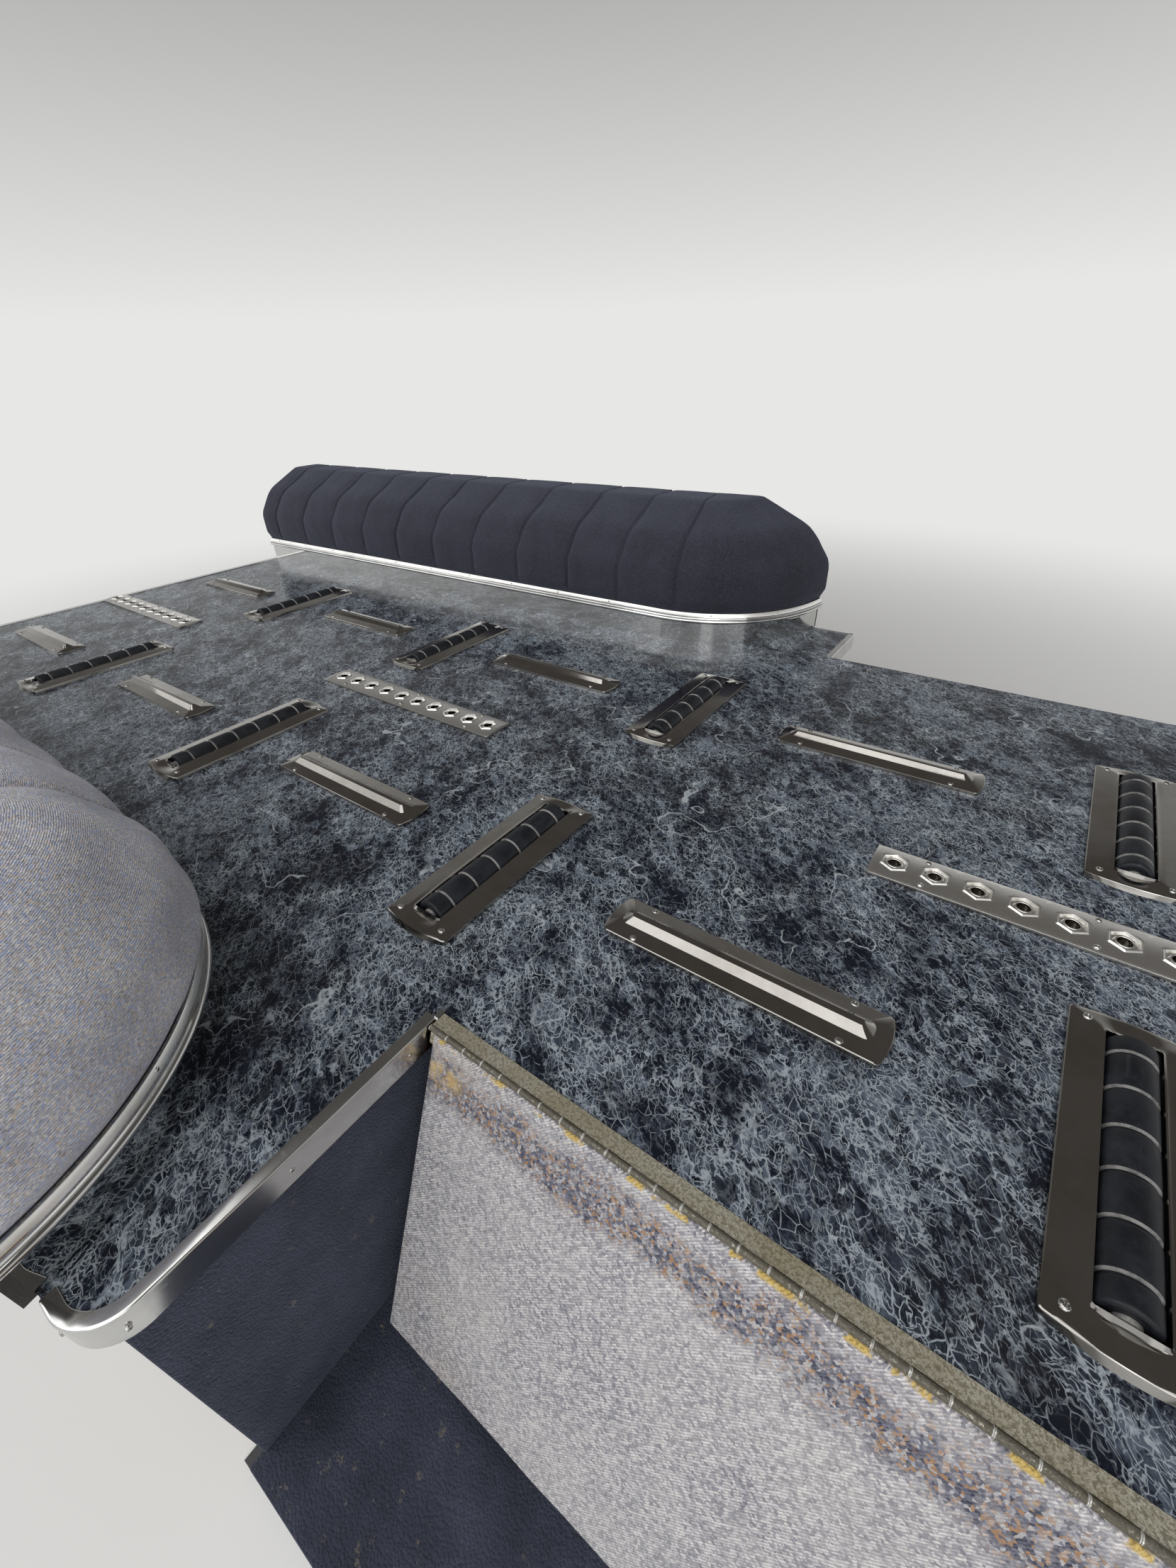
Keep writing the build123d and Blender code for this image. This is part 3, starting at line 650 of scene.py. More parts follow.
def rollerBezel(row, side, x, y):
    stations = outlineStations(3, 14, 8)

    def placed(shape, lowest=None):
        length, width, radius, bulge, z = shape

        def place(index):
            point = outlinePoint(stations[index], length, width, radius, bulge, z)
            # The relief lowers the top, but neither the foot nor the opening and the pocket
            if z > 6.5 and radius != 2:
                point.z -= dipDepth(point.x, point.y)
            if lowest is not None:
                point.z = max(point.z, lowest)
            return point
        return place

    bm = newBmesh()
    foot = startRing(bm, len(stations), placed(bezel["outside"][0]))
    parts = [step / bezel["slopeSteps"] for step in range(1, bezel["slopeSteps"] + 1)]
    ends = list(zip(bezel["outside"][-1], bezel["lip"]))
    slope = [[a + (b - a) * part for a, b in ends] for part in parts]
    shapes = [*bezel["outside"][1:], *slope, bezel["crest"], *bezel["opening"]]
    edges = growRing(bm, foot, *(placed(shape) for shape in shapes))
    # Down the wall of the opening, out under the rim to the pocket, and down to the foot
    last, least, z = bezel["opening"][-1], bezel["dip"]["least"], bezel["wallEnd"]
    edges = growRing(bm, edges, placed((*last[:4], z), least), placed((*bezel["pocket"], z), least - 0.1),
                     placed((*bezel["pocket"], 0)))
    bmesh.ops.bridge_loops(bm, edges=foot + edges)
    weldUp(bm)
    # The ends' walls and the relief get a darker casting than the polished top: a painted reflection of the dark deck
    # in front of them
    darkReflected = bezel["darkReflectionEnd"]
    for face in bm.faces:
        middle = face.calc_center_median()
        if abs(face.normal.y) > 0.3 and (abs(middle.y) < darkReflected["from"] or middle.z < darkReflected["top"]):
            face.material_index = 2
    addScrews(bm, fourScrews(bezel["screws"], {"left": 20, "right": 65}[side] + 31 * row, 40, 25), 1)
    moveTo(bm, (x, y, deckTop))
    materials = ["casting", "screw", "castingEnd"]
    finishPiece(f"bezelChrome_{row}_{side}", bm, materials, f"roller_bezel_{row}_{side}", 16)


roller = {
    "radius": 22, "length": 263, "steps": 48,
    # radius, distance in from the roller's end
    "end": [(5.05, -2.5), (8.6, -2.5), (9.7, -2.1), (10, -1.2), (10, 1.3), (14.4, 1.5), (15.2, 1.0), (16.5, 0.1),
            (18.4, 0), (20.4, 0.5), (21.5, 1.5), (22, 3.0)],
    "hub": (10.2, 1.3),      # its radius, and how deep it stands in the rubber
    "grooves": 6, "pitch": 43.3,
    # distance along from the groove's middle, radius
    "groove": [(-4.2, 22), (-3.0, 21.75), (-2.0, 21.0), (-1.1, 19.8), (1.1, 19.8), (2.0, 21.0), (3.0, 21.75),
               (4.2, 22)],
    "paintedSheen": (1.1, 3.1, 21.9),      # the pale band of painted sheen on a groove's shoulder: from, to, and within this radius
}


def rubberRoller(row, side, x, y):
    half = roller["length"] / 2
    line = [(radius, -half + inset) for radius, inset in roller["end"]]
    pale = []
    for groove in range(roller["grooves"]):
        middle = (groove - (roller["grooves"] - 1) / 2) * roller["pitch"]
        line.append((roller["radius"], middle - roller["pitch"] / 2 + 6))
        line += [(radius, middle + along) for along, radius in roller["groove"]]
        pale.append((middle + roller["paintedSheen"][0], middle + roller["paintedSheen"][1]))
    line.append((roller["radius"], half - 14))
    line += [(radius, half - inset) for radius, inset in reversed(roller["end"])]
    bm = newBmesh()
    verts, edges = closedSection(bm, [(0, along, radius) for radius, along in line])
    bmesh.ops.spin(bm, geom=verts + edges, cent=(0, 0, 0), axis=(0, 1, 0), angle=2 * math.pi, steps=roller["steps"],
                   use_merge=True)
    hubRadius, hubDeep = roller["hub"]
    for face in bm.faces:
        middle = face.calc_center_median()
        distance = math.hypot(middle.x, middle.z)
        if distance < hubRadius and abs(middle.y) > half - hubDeep - 1:
            face.material_index = 2
        # The grooves' shoulders get the pale rubber, a painted sheen
        elif distance < roller["paintedSheen"][2] and any(low < middle.y < high for low, high in pale):
            face.material_index = 1
    moveTo(bm, (x, y, deckTop))
    name = f"roller_{row}_{side}"
    finishPiece(f"rubberRoller_{row}_{side}", bm, ["rubber", "worn", "hub"], name, 50, body=name)


for row, x in enumerate(rollerRows["x"], start=1):
    for side, sign in signs.items():
        rollerBezel(row, side, x, sign * rollerRows["y"])
        rubberRoller(row, side, x, sign * rollerRows["y"])
print("roller units made")


# Skid bars

skid = {
    "rows": [-1203, -516, 161, 873], "column": 281,
    # length, width, corner radius, bulge of the ends, height above the deck
    "levels": [(338, 66, 4, 6, 0), (338, 66, 4, 6, 5.0), (337.4, 65.4, 4, 6, 5.8), (335.5, 63.5, 4, 6, 6.3),
               (302, 26, 8, 1, 9.6), (299.5, 23.5, 7.5, 0.8, 10.3), (281.5, 9.5, 4.5, 0, 16.3),
               (279.5, 8, 3.6, 0, 16.8), (276, 5.6, 2.6, 0, 17.0)],
    "screws": (123.5, 26.5, 7.2),
}


def skidBar(row, side, x, y):
    stations = outlineStations(5, 8, 2)

    def placed(level):
        return lambda index: outlinePoint(stations[index], *level)

    bm = newBmesh()
    foot = startRing(bm, len(stations), placed(skid["levels"][0]))
    closeRing(bm, growRing(bm, foot, *(placed(level) for level in skid["levels"][1:])))
    closeRing(bm, foot)
    bmesh.ops.rotate(bm, verts=bm.verts, cent=(0, 0, 0), matrix=Matrix.Rotation(math.radians(90), 3, "Z"))
    turnOut(bm)
    addScrews(bm, fourScrews(skid["screws"], 15 + 50 * row, 35, 20), 1)
    moveTo(bm, (x, y, deckTop))
    finishPiece(f"skidChrome_{row}_{side}", bm, ["casting", "screw"], f"skid_bar_{row}_{side}", 14)


for row, x in enumerate(skid["rows"], start=1):
    for side, sign in signs.items():
        skidBar(row, side, x, sign * skid["column"])
print("skid bars made")


# Bier plates

bier = {
    "plates": {"rear": (-1224, 0), "middle": (-11, 0), "front": (1201, 5)},
    "holes": 10, "pitch": 50.8, "length": 513, "width": 68, "edge": 5.2, "crown": 8.6, "sides": 48,
    # radius, height above the deck, and how six-sided the ring is
    "cup": [(7.9, -15, 0), (7.9, 7.5, 0), (8.2, 8.0, 0), (9.6, 8.0, 0), (10.0, 7.6, 0), (10.4, 5.2, 0), (11.2, 4.8, 0),
            (15.4, 5.2, 1), (15.8, 5.8, 1), (16.2, 9.4, 1), (16.5, 9.8, 1), (17.1, 9.8, 1), (17.6, 9.5, 1),
            (18.9, 7.8, 1)],
    "worn": [2, 3, 10, 11, 12],      # the levels of the cup that get the paler metal: painted highlights along the tops of the ring and the rim
    "spread": [0.1, 0.28, 0.5, 0.75, 1],      # rings between a cup and the edge of its square
    "bevel": 0.8,
    "screws": {"offsets": [-190, 0, 190], "side": 25.2, "z": 7.3},
}


def crownHeight(y):
    return bier["crown"] - (bier["crown"] - bier["edge"]) * (2 * y / bier["width"]) ** 2


def bierPlate(name, x, y):
    half = bier["pitch"] / 2
    margin = (bier["length"] - bier["pitch"] * bier["holes"]) / 2

    def cupPoint(level):
        radius, z, hexed = level

        def place(index):
            angle = 360 / bier["sides"] * index + 90
            reach = radius
            if hexed:
                reach = radius * math.cos(math.radians(30)) / math.cos(math.radians((angle - 30) % 60 - 30))
            return Vector((*polar(reach, angle), z))
        return place

    def border(part, z=None):
        def place(index):
            x, y = polar(1, 360 / bier["sides"] * index + 90)
            # Two of each half turn's points go into the corners of the hole's square
            if index % (bier["sides"] // 2) in (5, 19):
                x, y = math.copysign(half, x), math.copysign(bier["width"] / 2, y)
            else:
                grow = min(half / max(abs(x), 1e-6), bier["width"] / 2 / max(abs(y), 1e-6))
                x, y = x * grow, y * grow
            inner = cupPoint(bier["cup"][-1])(index)
            x, y = inner.x + (x - inner.x) * part, inner.y + (y - inner.y) * part
            return Vector((x, y, z if z is not None else crownHeight(y)))
        return place

    bm = newBmesh()
    for hole in range(bier["holes"]):
        older = set(bm.verts)
        edges = startRing(bm, bier["sides"], border(1, 0))
        for number, level in enumerate(bier["cup"]):
            before = set(bm.faces)
            edges = growRing(bm, edges, cupPoint(level))
            # These levels get the pale metal, a painted highlight
            if number in bier["worn"]:
                for face in set(bm.faces) - before:
                    face.material_index = 2
        growRing(bm, edges, *(border(part) for part in bier["spread"]))
        verts = [vert for vert in bm.verts if vert not in older]
        bmesh.ops.translate(bm, verts=verts, vec=((hole - (bier["holes"] - 1) / 2) * bier["pitch"], 0, 0))
    bmesh.ops.remove_doubles(bm, verts=bm.verts, dist=0.05)
    reach = bier["pitch"] * bier["holes"] / 2
    for vert in bm.verts:
        if abs(vert.co.x) > reach - 0.1:
            vert.co.x += math.copysign(margin, vert.co.x)
    bmesh.ops.bridge_loops(bm, edges=[edge for edge in bm.edges if edge.is_boundary])
    turnOut(bm)

    def onRim(edge):
        outside = max(abs(vert.co.y) for vert in edge.verts) > bier["width"] / 2 - 0.5
        return outside or min(abs(vert.co.x) for vert in edge.verts) > reach

    rim = [edge for edge in bm.edges if len(edge.link_faces) == 2 and edge.calc_face_angle(0) > 1 and onRim(edge)]
    bmesh.ops.bevel(bm, geom=rim, offset=bier["bevel"], offset_type="OFFSET", segments=2, profile=0.5, affect="EDGES",
                    material=-1)
    screws = bier["screws"]
    places = [(dx, sy * screws["side"], screws["z"], 17 + dx + 30 * sy) for dx in screws["offsets"] for sy in (-1, 1)]
    addScrews(bm, places, 1, 0.85)
    moveTo(bm, (x, y, deckTop))
    finishPiece(f"bierChrome_{name}", bm, ["casting", "screw", "wornEdge"], f"bier_plate_{name}", 28)


for name, (x, y) in bier["plates"].items():
    bierPlate(name, x, y)
print("bier plates made")


# Things that run along the covers

coverStart = -1498


def alongCover(bm, section, side, start, step, cornerSteps):
    # Sweeps a closed (depth, height) section beside the deck and round the cover's corner
    station = bm.verts.layers.int["station"]
    line = [(start, side * (coverFace + depth), deckTop + height) for depth, height in section]
    verts, edges = closedSection(bm, line)
    for index, vert in enumerate(verts):
        vert[station] = index
    steps = round((cornerX - start) / step)
    ahead = slide(bm, verts + edges, ((cornerX - start) / steps, 0, 0), steps)
    swing(bm, ahead, (cornerX, side * (coverFace + cornerRadius), 0), cornerSteps, side)
    closeRing(bm, edges)
    cut = bmesh.ops.bisect_plane(bm, geom=bm.verts[:] + bm.edges[:] + bm.faces[:], dist=0.0005, clear_outer=True,
                                 plane_co=(0, side * coverCut, 0), plane_no=(0, side, 0))["geom_cut"]
    closeRing(bm, onlyEdges(cut))


def coverPlace(co, side):
    # (distance along the cover, depth, turn round the corner in radians) of a point beside the cover
    y = side * co.y
    if co.x <= cornerX:
        return co.x - coverStart, y - coverFace, 0.0
    dx, dy = co.x - cornerX, coverFace + cornerRadius - y
    turn = math.atan2(dx, dy)
    return cornerX - coverStart + cornerRadius * turn, cornerRadius - math.hypot(dx, dy), turn


pad = {
    # depth, height above the deck: over the face and the ledge, then back under
    "outside": [(3, 75), (0.2, 80.6), (-2.6, 86.3), (-5.4, 92), (-8, 97.6), (-8.8, 103.8), (-8.8, 110.1),
                (-8.6, 122.7), (-8.4, 135.3), (-8.2, 147.9), (-6.3, 160.3), (-1.8, 172.1), (5, 182.7), (12.5, 192.8),
                (19.9, 202.9), (27.4, 213.1), (35.1, 223), (43.8, 232.2), (53.3, 240.4), (63.7, 247.5), (74.7, 253.5),
                (86.1, 258.9), (97.5, 264.2), (108.9, 269.6), (120.3, 275), (131.7, 280.3), (143.1, 285.7),
                (154.5, 291), (165.9, 296.4), (177.4, 301.3), (189.9, 302.7), (205, 302.8), (222, 302.9),
                (240, 302.9), (258, 302.9), (277.8, 302.4)],
    "inside": [(277.8, 256.2), (236, 256.2), (197, 256.2), (140, 225), (85, 193.2), (62, 165), (46.2, 141),
               (46.2, 100), (46.2, 75)],
    "seams": {"left": [292, 124, -38, -216, -392, -563, -734, -905, -1076, -1247, -1418],
              "right": [214, 44, -127, -298, -469, -640, -811, -982, -1153, -1324]},
    "foot": 75,      # height of the lower edge, which the rail holds
    "valley": 11, "frontChannel": 190,      # depth of the seams' valleys, run of the padding past the last seam
    # depth or height, half width
    "groove": (2.6, 2.6), "welt": (1.3, 3.4), "weltPlace": 7,
    "overhang": {"left": 0, "right": 5},
    "step": 4.0, "cornerSteps": 122,
}


def channelShape(x, seams):
    # How full the padding is between two seams, 0 to 1, and how far the nearest seam is, minus towards the rear
    marks = sorted([coverStart - 120] + seams)
    if x >= marks[-1]:
        return (1 - (1 - min(1, (x - marks[-1]) / pad["frontChannel"])) ** 3) ** 0.5, x - marks[-1]
    for low, high in zip(marks, marks[1:]):
        if low <= x < high:
            full = (1 - abs(2 * (x - low) / (high - low) - 1) ** 2.8) ** 0.5
            return full, min(x - low, x - high, key=abs)
    return 1, 99


def coverPad(side, name, material):
    sign = signs[side]
    outside, inside, foot = pad["outside"], pad["inside"], pad["foot"]
    grooveDeep, grooveWide = pad["groove"]
    weltHigh, weltWide = pad["welt"]
    bm = newBmesh()
    alongCover(bm, outside + inside, sign, coverStart, pad["step"], pad["cornerSteps"])
    station = bm.verts.layers.int["station"]
    normals = []
    for index in range(len(outside)):
        a, b = outside[max(index - 1, 0)], outside[min(index + 1, len(outside) - 1)]
        normals.append(Vector((-(b[1] - a[1]), b[0] - a[0])).normalized())
    for vert in bm.verts:
        index = vert[station]
        if index >= len(outside):
            continue
        along, depth, turn = coverPlace(vert.co, sign)
        if abs(abs(vert.co.y) - coverCut) < 0.01 and turn > 0 or vert.co.x < coverStart + 0.01:
            continue
        x = along + coverStart
        full, fromSeam = channelShape(x, pad["seams"][side])
        height = outside[index][1]
        # The rail holds the lower edge and the ledge the upper one; between them the padding is free
        hold = min(1, (height - foot) / 30) * (1 - min(1, max(0, depth - 120) / 75) * 0.8)
        crease = noise.noise(Vector((along / 120, height / 210 + depth / 160, 3.1 + sign))) * 2.0
        crease += noise.noise(Vector((along / 34 + height / 90, height / 120, 7.7 * sign))) * 0.9
        groove = math.exp(-(fromSeam / grooveWide) ** 2) * grooveDeep
        welt = math.exp(-((fromSeam + pad["weltPlace"]) / weltWide) ** 2) * weltHigh
        bulge = pad["overhang"][side] * math.exp(-((height - 102) / 24) ** 2) * min(1, max(0, (x - 120) / 150))
        out = (pad["valley"] * (full - 1) + crease + bulge) * hold + (welt - groove) * min(1, (height - foot) / 12)
        move = normals[index] * out
        radial = Vector((0, sign, 0)) if turn == 0 else Vector((-math.sin(turn), sign * math.cos(turn), 0))
        vert.co += radial * move.x + Vector((0, 0, move.y))
    piece = finishPiece(name, bm, [material], f"cover_pad_{side}", 180)


# The left cover gets the velour in painted shade, the right cover the velour in painted sunlight
coverPad("left", "coverVelour_left", "velour")
coverPad("right", "coverVelour_right", "faded")
print("cover pads made")

rail = {
    # depth, height: fat lower bead, thin middle bead, flat bright lip
    "section": [(1.4, 50.2), (-3.5, 50.2), (-6.2, 50.7), (-8.2, 52.3), (-9, 55), (-8.2, 57.7), (-6.2, 59.3),
                (-4.6, 60), (-6.0, 60.8), (-6.8, 62.4), (-6.0, 64.2), (-4.2, 65), (-3.9, 66.2), (-2.2, 74.2),
                (-1.6, 74.9), (1.4, 74.9)],
    "lip": (66, 74.5), "start": -1500,
    # screws in the lip: how far out, height, lean in degrees, size, places along, and turns round the corner
    "screwOut": 3.0, "screwHigh": 70.4, "screwLean": 78, "screwScale": 0.55,
    "screwSpacing": 171, "screwStart": -1440, "cornerScrews": (0.42, 0.95),
}


def chromeRail(side):
    sign = signs[side]
    bm = newBmesh()
    alongCover(bm, rail["section"], sign, rail["start"], 40, 60)
    for face in bm.faces:
        height = face.calc_center_median().z - deckTop
        if rail["lip"][0] < height < rail["lip"][1] and len(face.verts) < 5:
            face.material_index = 1
    weldUp(bm)
    facing = Matrix.Rotation(math.radians(rail["screwLean"] * sign), 3, "X")
    out, z, scale = rail["screwOut"], deckTop + rail["screwHigh"], rail["screwScale"]
    places = [(x, sign * (coverFace - out), z, x) for x in range(rail["screwStart"], cornerX, rail["screwSpacing"])]
    addScrews(bm, places, 2, scale, facing)
    middle = Vector((cornerX, sign * (coverFace + cornerRadius), 0))
    for turn in rail["cornerScrews"]:
        turned = Matrix.Rotation(turn * sign, 3, "Z")
        spot = turned @ Vector((0, -sign * (cornerRadius + out), 0)) + middle
        addScrews(bm, [(spot.x, spot.y, z, 30)], 2, scale, turned @ facing)
    finishPiece(f"coverRail_{side}", bm, ["bead", "railLip", "screw"], f"chrome_rail_{side}", 40)


for side in signs:
    chromeRail(side)
print("rails made")


# Nosings along the tongues of the deck

nosing = {
    # (out from the tongue's edge, height over the deck): face and top leg with a rounded corner
    "section": [(0.05, -34), (1.4, -34), (2, -33.2), (2, -1.2), (1.88, -0.2), (1.53, 0.7), (0.98, 1.4), (0.26, 1.84),
                (-0.6, 2), (-10.4, 2), (-11, 1.6), (-11, 0.05), (0.05, 0.05)],
    "fold": {"start": 627, "end": 633.6},
    "screwDrop": 17, "screwOut": 1.9, "screwScale": 0.62,
    "right": {"start": 566, "front": 628, "end": 870, "radius": 45, "inner": 520,
              "screws": [(628, -840), (628, -560), (628, -700), (590, -870)]},
    "left": {"start": 566, "front": 664, "end": 870, "radius": 6, "inner": 690,
             "screws": [(664, 730), (664, 840), (610, 870)]},
}


def nosingSection(bm, x, y):
    verts, edges = closedSection(bm, [(x, -y - out, deckTop + height) for out, height in nosing["section"]])
    return verts + edges, edges


def deckNosing(side):
    # Made along the right edge, and mirrored for the left
    size = nosing[side]
    sign = signs[side]
    bm = newBmesh()
    geom, edges = nosingSection(bm, size["start"], size["end"])
    turnX, turnY = size["front"] - size["radius"], size["end"] - size["radius"]
    geom = slide(bm, geom, (turnX - size["start"], 0, 0))
    geom = swing(bm, geom, (turnX, -turnY, 0), 16)
    geom = slide(bm, geom, (0, (turnY - size["inner"]) / 6, 0), 6)
    closeRing(bm, edges)
    closeRing(bm, onlyEdges(geom))
    if side == "right":
        # The short folded end that turns the inner corner to the hinge
        fold = nosing["fold"]
        geom, edges = nosingSection(bm, fold["start"], size["inner"])
        geom = slide(bm, geom, (fold["end"] - fold["start"], 0, 0))
        closeRing(bm, edges)
        closeRing(bm, onlyEdges(geom))
    else:
        bmesh.ops.scale(bm, vec=(1, -1, 1), verts=bm.verts)
    turnOut(bm)
    out, z = nosing["screwOut"], deckTop - nosing["screwDrop"]
    for x, y in size["screws"]:
        if x == size["front"]:
            facing, place = Matrix.Rotation(math.radians(90), 3, "Y"), (x + out, y, z, 25)
        else:
            facing, place = Matrix.Rotation(math.radians(-90 * sign), 3, "X"), (x, y + out * sign, z, 60)
        addScrews(bm, [place], 1, nosing["screwScale"], facing)
    finishPiece(f"deckNosing_{side}", bm, ["nosing", "screw"], f"nosing_{side}", 32)


deckNosing("right")
deckNosing("left")
print("nosings made")


# Carpets

# With the flap level: ends in x, distances out from the hinge, and heights over its axis
flap = {
    "start": 640, "end": 1468, "near": 6, "far": 427, "leaf": 20.4, "bevelEnd": 42,
    "top": 1.8, "back": -15.2, "board": -3.2, "leafTop": -1.65,
    "round": 4, "wrap": 4.9, "rim": 9, "angle": 67.4,
    # a soft rise along the hinge: distance out, half width, height
    "swell": (85, 45, 3.0),
}


def flapCarpet():
    size = flap
    reach = size["round"]
    bm = newBmesh()
    long = size["end"] - size["start"] - 2 * reach
    wide = size["far"] - size["near"] - 2 * reach
    bmesh.ops.create_grid(bm, x_segments=104, y_segments=54, size=0.5)
    middle = Vector(((size["start"] + size["end"]) / 2, (size["near"] + size["far"]) / 2, size["top"]))
    # Made level, with y as the distance out from the hinge and z as the height over its axis
    for vert in bm.verts:
        vert.co = Vector((vert.co.x * long, vert.co.y * wide, 0)) + middle
    edges = [edge for edge in bm.edges if edge.is_boundary]

    # The edge rolls over a quarter turn, goes down to the back, and wraps a little way round the panel
    profile = [(reach * math.sin(turn), size["top"] - reach * (1 - math.cos(turn)))
               for turn in (math.radians(18 * step) for step in range(1, 6))]
    profile += [(reach, size["back"] + 1.5), (reach - 0.6, size["back"]), (reach - size["wrap"], size["back"]),
                (reach - size["wrap"], size["board"])]
    for rolled, z in profile:
        def move(vert):
            x, y = vert.co.x - middle.x, vert.co.y - middle.y
            if abs(x) > long / 2 - size["rim"]:
                x = math.copysign(long / 2 + rolled, x)
            if abs(y) > wide / 2 - size["rim"]:
                y = math.copysign(wide / 2 + rolled, y)
            return Vector((middle.x + x, middle.y + y, z))
        edges = grow(bm, edges, move)
    closeRing(bm, edges)
    swellAt, swellWide, swellHigh = size["swell"]
    for vert in bm.verts:
        x, out, z = vert.co
        if z > size["top"] - 0.5:
            swell = math.exp(-((out - swellAt) / swellWide) ** 2) * swellHigh * (0.6 + 0.4 * math.sin(x / 160))
            vert.co.z += min(1, max(0, out - 14) / 30) * (swell + noise.noise(Vector((x / 70, out / 90, 2.0))) * 1.1)
        elif out < size["bevelEnd"]:
            # The back is cut away in a slope beside the hinge
            part = (out - size["near"]) / (size["bevelEnd"] - size["near"])
            slope = size["board"] - part * (size["board"] - size["back"])
            vert.co.z = max(z, slope, size["leafTop"] if out <= size["leaf"] else slope)
    bmesh.ops.scale(bm, vec=(1, -1, 1), verts=bm.verts)
    turn = Matrix.Rotation(math.radians(size["angle"]), 3, "X")
    moveTo(bm, (0, *hingeAxis), turn)
    finishPiece("flapCarpet", bm, ["tweed"], "flap_carpet", 60, body="flap")


slab = {"edge": 1.8, "longest": 14}


def softSlab(name, node, low, high, cuts):
    # A slab of carpet with soft edges, cut finely
    bm = newBmesh()
    bmesh.ops.create_cube(bm, size=1)
    size = [b - a for a, b in zip(low, high)]
    middle = [(a + b) / 2 for a, b in zip(low, high)]
    bmesh.ops.scale(bm, vec=size, verts=bm.verts)
    bmesh.ops.bevel(bm, geom=bm.edges[:], offset=slab["edge"], offset_type="OFFSET", segments=3, profile=0.5,
                    affect="EDGES", material=-1)
    bmesh.ops.translate(bm, vec=middle, verts=bm.verts)
    for _ in range(cuts):
        long = [edge for edge in bm.edges if edge.calc_length() > slab["longest"]]
        bmesh.ops.subdivide_edges(bm, edges=long, cuts=1, use_grid_fill=True)
    finishPiece(name, bm, ["pile"], node, 60)


flapCarpet()
softSlab("wellRearCarpet", "well_rear_carpet", (609, -850, 8), (614, -505, 395.5), 5)
softSlab("wellFloorCarpet", "well_floor_carpet", (609, -868, 3), (1478, -505, 8), 6)
print("carpets made")


# Finishes of the CAD nodes that stay

nodeFinish = {
    "deck_laminate": "marble", "deck_board": "plywood", "kick_band_left": "mirror", "kick_band_right": "mirror",
    "rear_sill": "mirror", "hinge_leaf_deck": "brass", "hinge_leaf_flap": "brass", "hinge_pin": "zinc",
    "roller_pans": "zinc", "roller_axles": "zinc", "flap_panel": "plywood", "well_rear_wall": "plywoodAcross",
    "well_inner_wall": "plywood", "well_front_wall": "plywoodAcross", "well_floor_pan": "paint",
    "cover_former_left": "former", "cover_former_right": "former", "subframe_rails": "paint",
    "subframe_cross_members": "paint", "subframe_outriggers": "paint", "subframe_posts": "paint",
    "subframe_legs": "paint",
}
for name, material in nodeFinish.items():
    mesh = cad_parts[name].data
    mesh.materials.clear()
    mesh.materials.append(finish[material])
print("nodes finished")


# Floor, light and camera

# Metres and watts; the heights of the world's tones are parts of its radius
studio = {
    "floorSize": 60, "floor": (0.80, 0.80, 0.79), "cloudy": 0.985, "fadeFrom": 1.6, "fadeTo": 4.6,
    "horizon": (0.80, 0.80, 0.79), "zenith": (0.100, 0.094, 0.088), "paleTo": 0.06, "darkFrom": 0.56,
    # place, size, energy
    "lamps": [((0, -3.8, 5.4), 8.0, 330), ((4.2, -4.8, 3.0), 5.5, 120), ((-4.6, -3.8, 3.0), 5.5, 90)],
    "aim": (0.1, 0, 0.4),
}

bm = bmesh.new()
bmesh.ops.create_grid(bm, x_segments=2, y_segments=2, size=studio["floorSize"])
floorMesh = bpy.data.meshes.new("studioFloor")
bm.to_mesh(floorMesh)
bm.free()
place = startMaterial("studioFloor", Roughness=0.9, Specular_IOR_Level=0.1)
darker = tuple(value * studio["cloudy"] for value in studio["floor"])
join(blend(cloud(place, 2.0, 3.0), studio["floor"], darker), "Base Color")
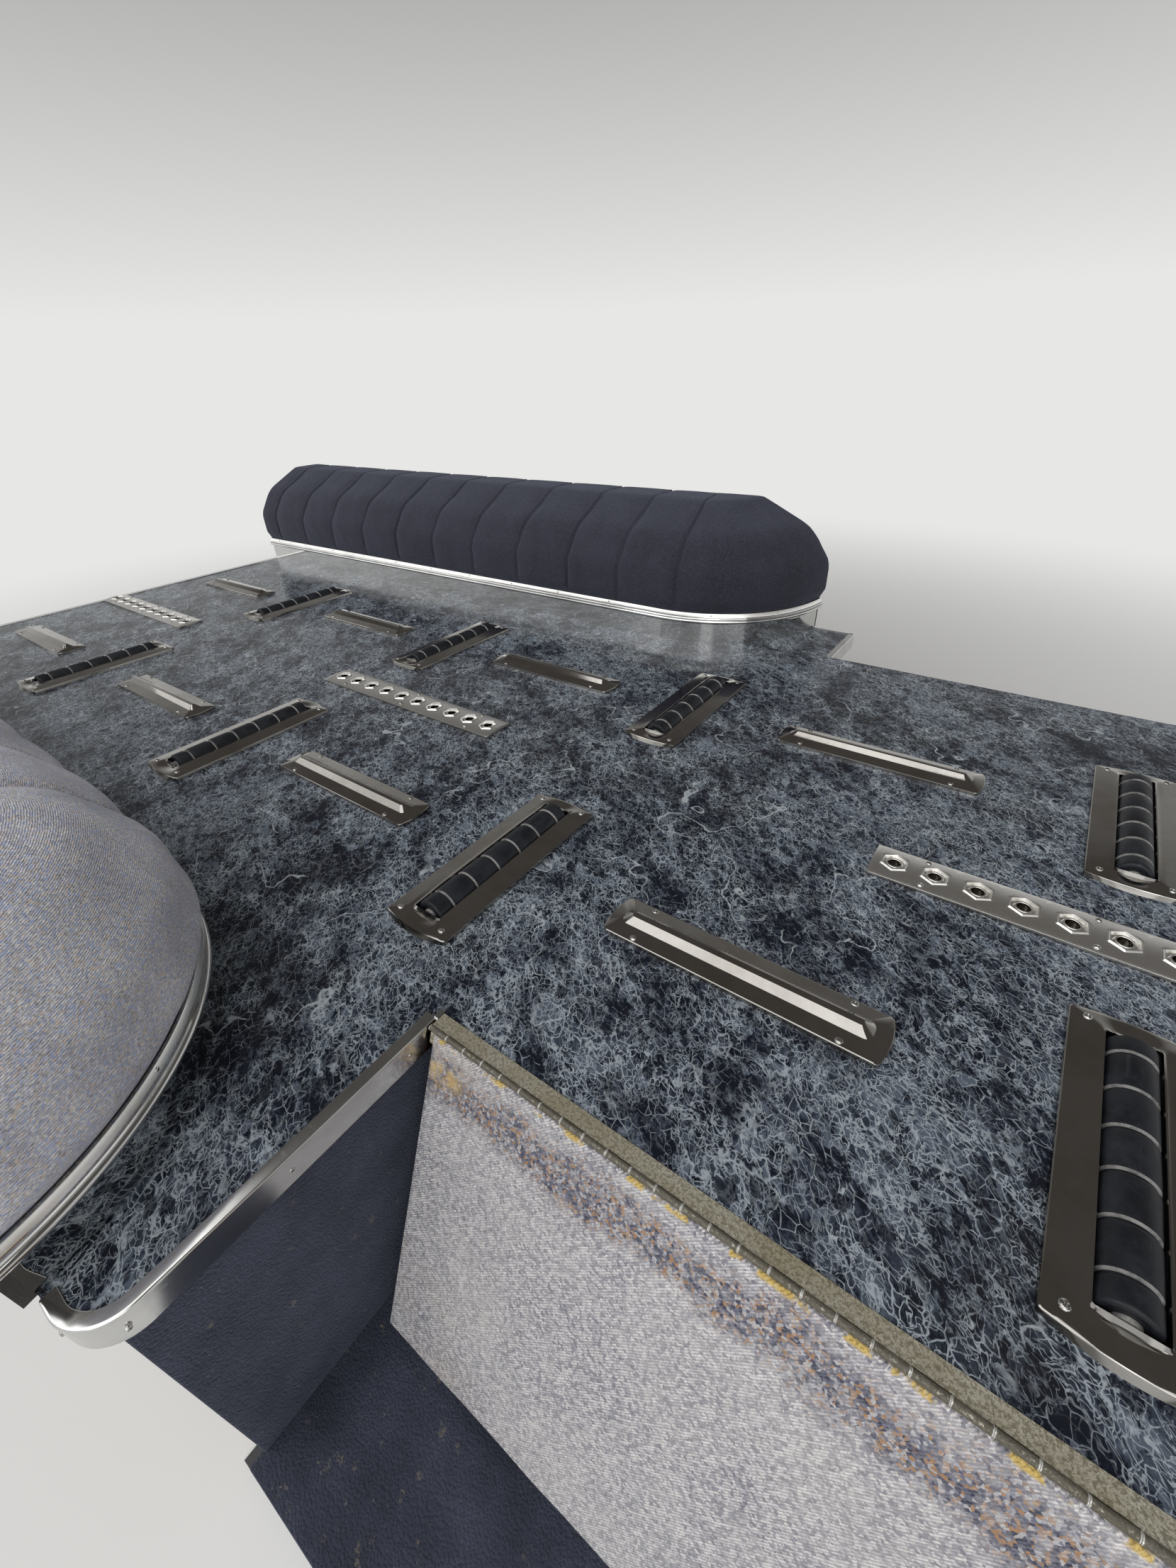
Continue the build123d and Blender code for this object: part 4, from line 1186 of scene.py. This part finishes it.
# Far from the object the floor fades into the background's tone for the rays that see it
reach = addNode("ShaderNodeVectorMath", {0: place}, operation="LENGTH").outputs["Value"]
rays = addNode("ShaderNodeLightPath").outputs
seen = larger(larger(rays["Is Camera Ray"], rays["Is Glossy Ray"]), rays["Is Transmission Ray"])
fade = {"Value": reach, "From Min": studio["fadeFrom"], "From Max": studio["fadeTo"]}
far = addNode("ShaderNodeMapRange", fade, interpolation_type="SMOOTHSTEP").outputs[0]
glow = addNode("ShaderNodeEmission", {"Color": (*studio["horizon"], 1), "Strength": 1.0})
shader = inHand["tree"].nodes["Principled BSDF"]
mixed = addNode("ShaderNodeMixShader", {0: times(far, seen), 1: shader.outputs[0], 2: glow.outputs[0]})
join(mixed.outputs[0], "Surface", "Material Output")
floorMesh.materials.append(inHand["material"])
floor = addObject("studioFloor", floorMesh)

for index, (place, size, energy) in enumerate(studio["lamps"]):
    light = bpy.data.lights.new(f"softLamp{index}", "AREA")
    light.shape = "SQUARE"
    light.size = size
    light.energy = energy
    lamp = addObject(f"softLamp{index}", light)
    lamp.location = place
    lamp.rotation_euler = (Vector(studio["aim"]) - Vector(place)).to_track_quat("-Z", "Y").to_euler()

world = bpy.data.worlds.new("studioWorld")
bpy.context.scene.world = world
world.use_nodes = True
inHand["tree"] = world.node_tree
height = axesOf(addNode("ShaderNodeTexCoord").outputs["Generated"])["Z"]
sky = blend(spread(height, studio["paleTo"], studio["darkFrom"]), studio["horizon"], studio["zenith"])
join(sky, "Color", "Background")

# The photographer stood at the open rear side door and looked back and across the deck
cameraLook = {
    "place": (1.0343, -0.7618, 1.0010), "forward": (-0.50354, 0.66548, -0.55098),
    "right": (0.81073, 0.58436, -0.03512), "down": (0.29860, -0.46439, -0.83378), "lens": 14.466,
}
camera = bpy.data.cameras.new("photoCamera")
camera.lens = cameraLook["lens"]
camera.sensor_width = 36
camera.sensor_fit = "AUTO"
camera.clip_start = 0.02
eye = addObject("photoCamera", camera)
right, down, forward = (Vector(cameraLook[key]) for key in ("right", "down", "forward"))
turn = Matrix((right, -down, -forward)).transposed().to_4x4()
eye.matrix_world = Matrix.Translation(cameraLook["place"]) @ turn
bpy.context.scene.camera = eye
bpy.context.scene.view_settings.view_transform = "Standard"
print("stage set")
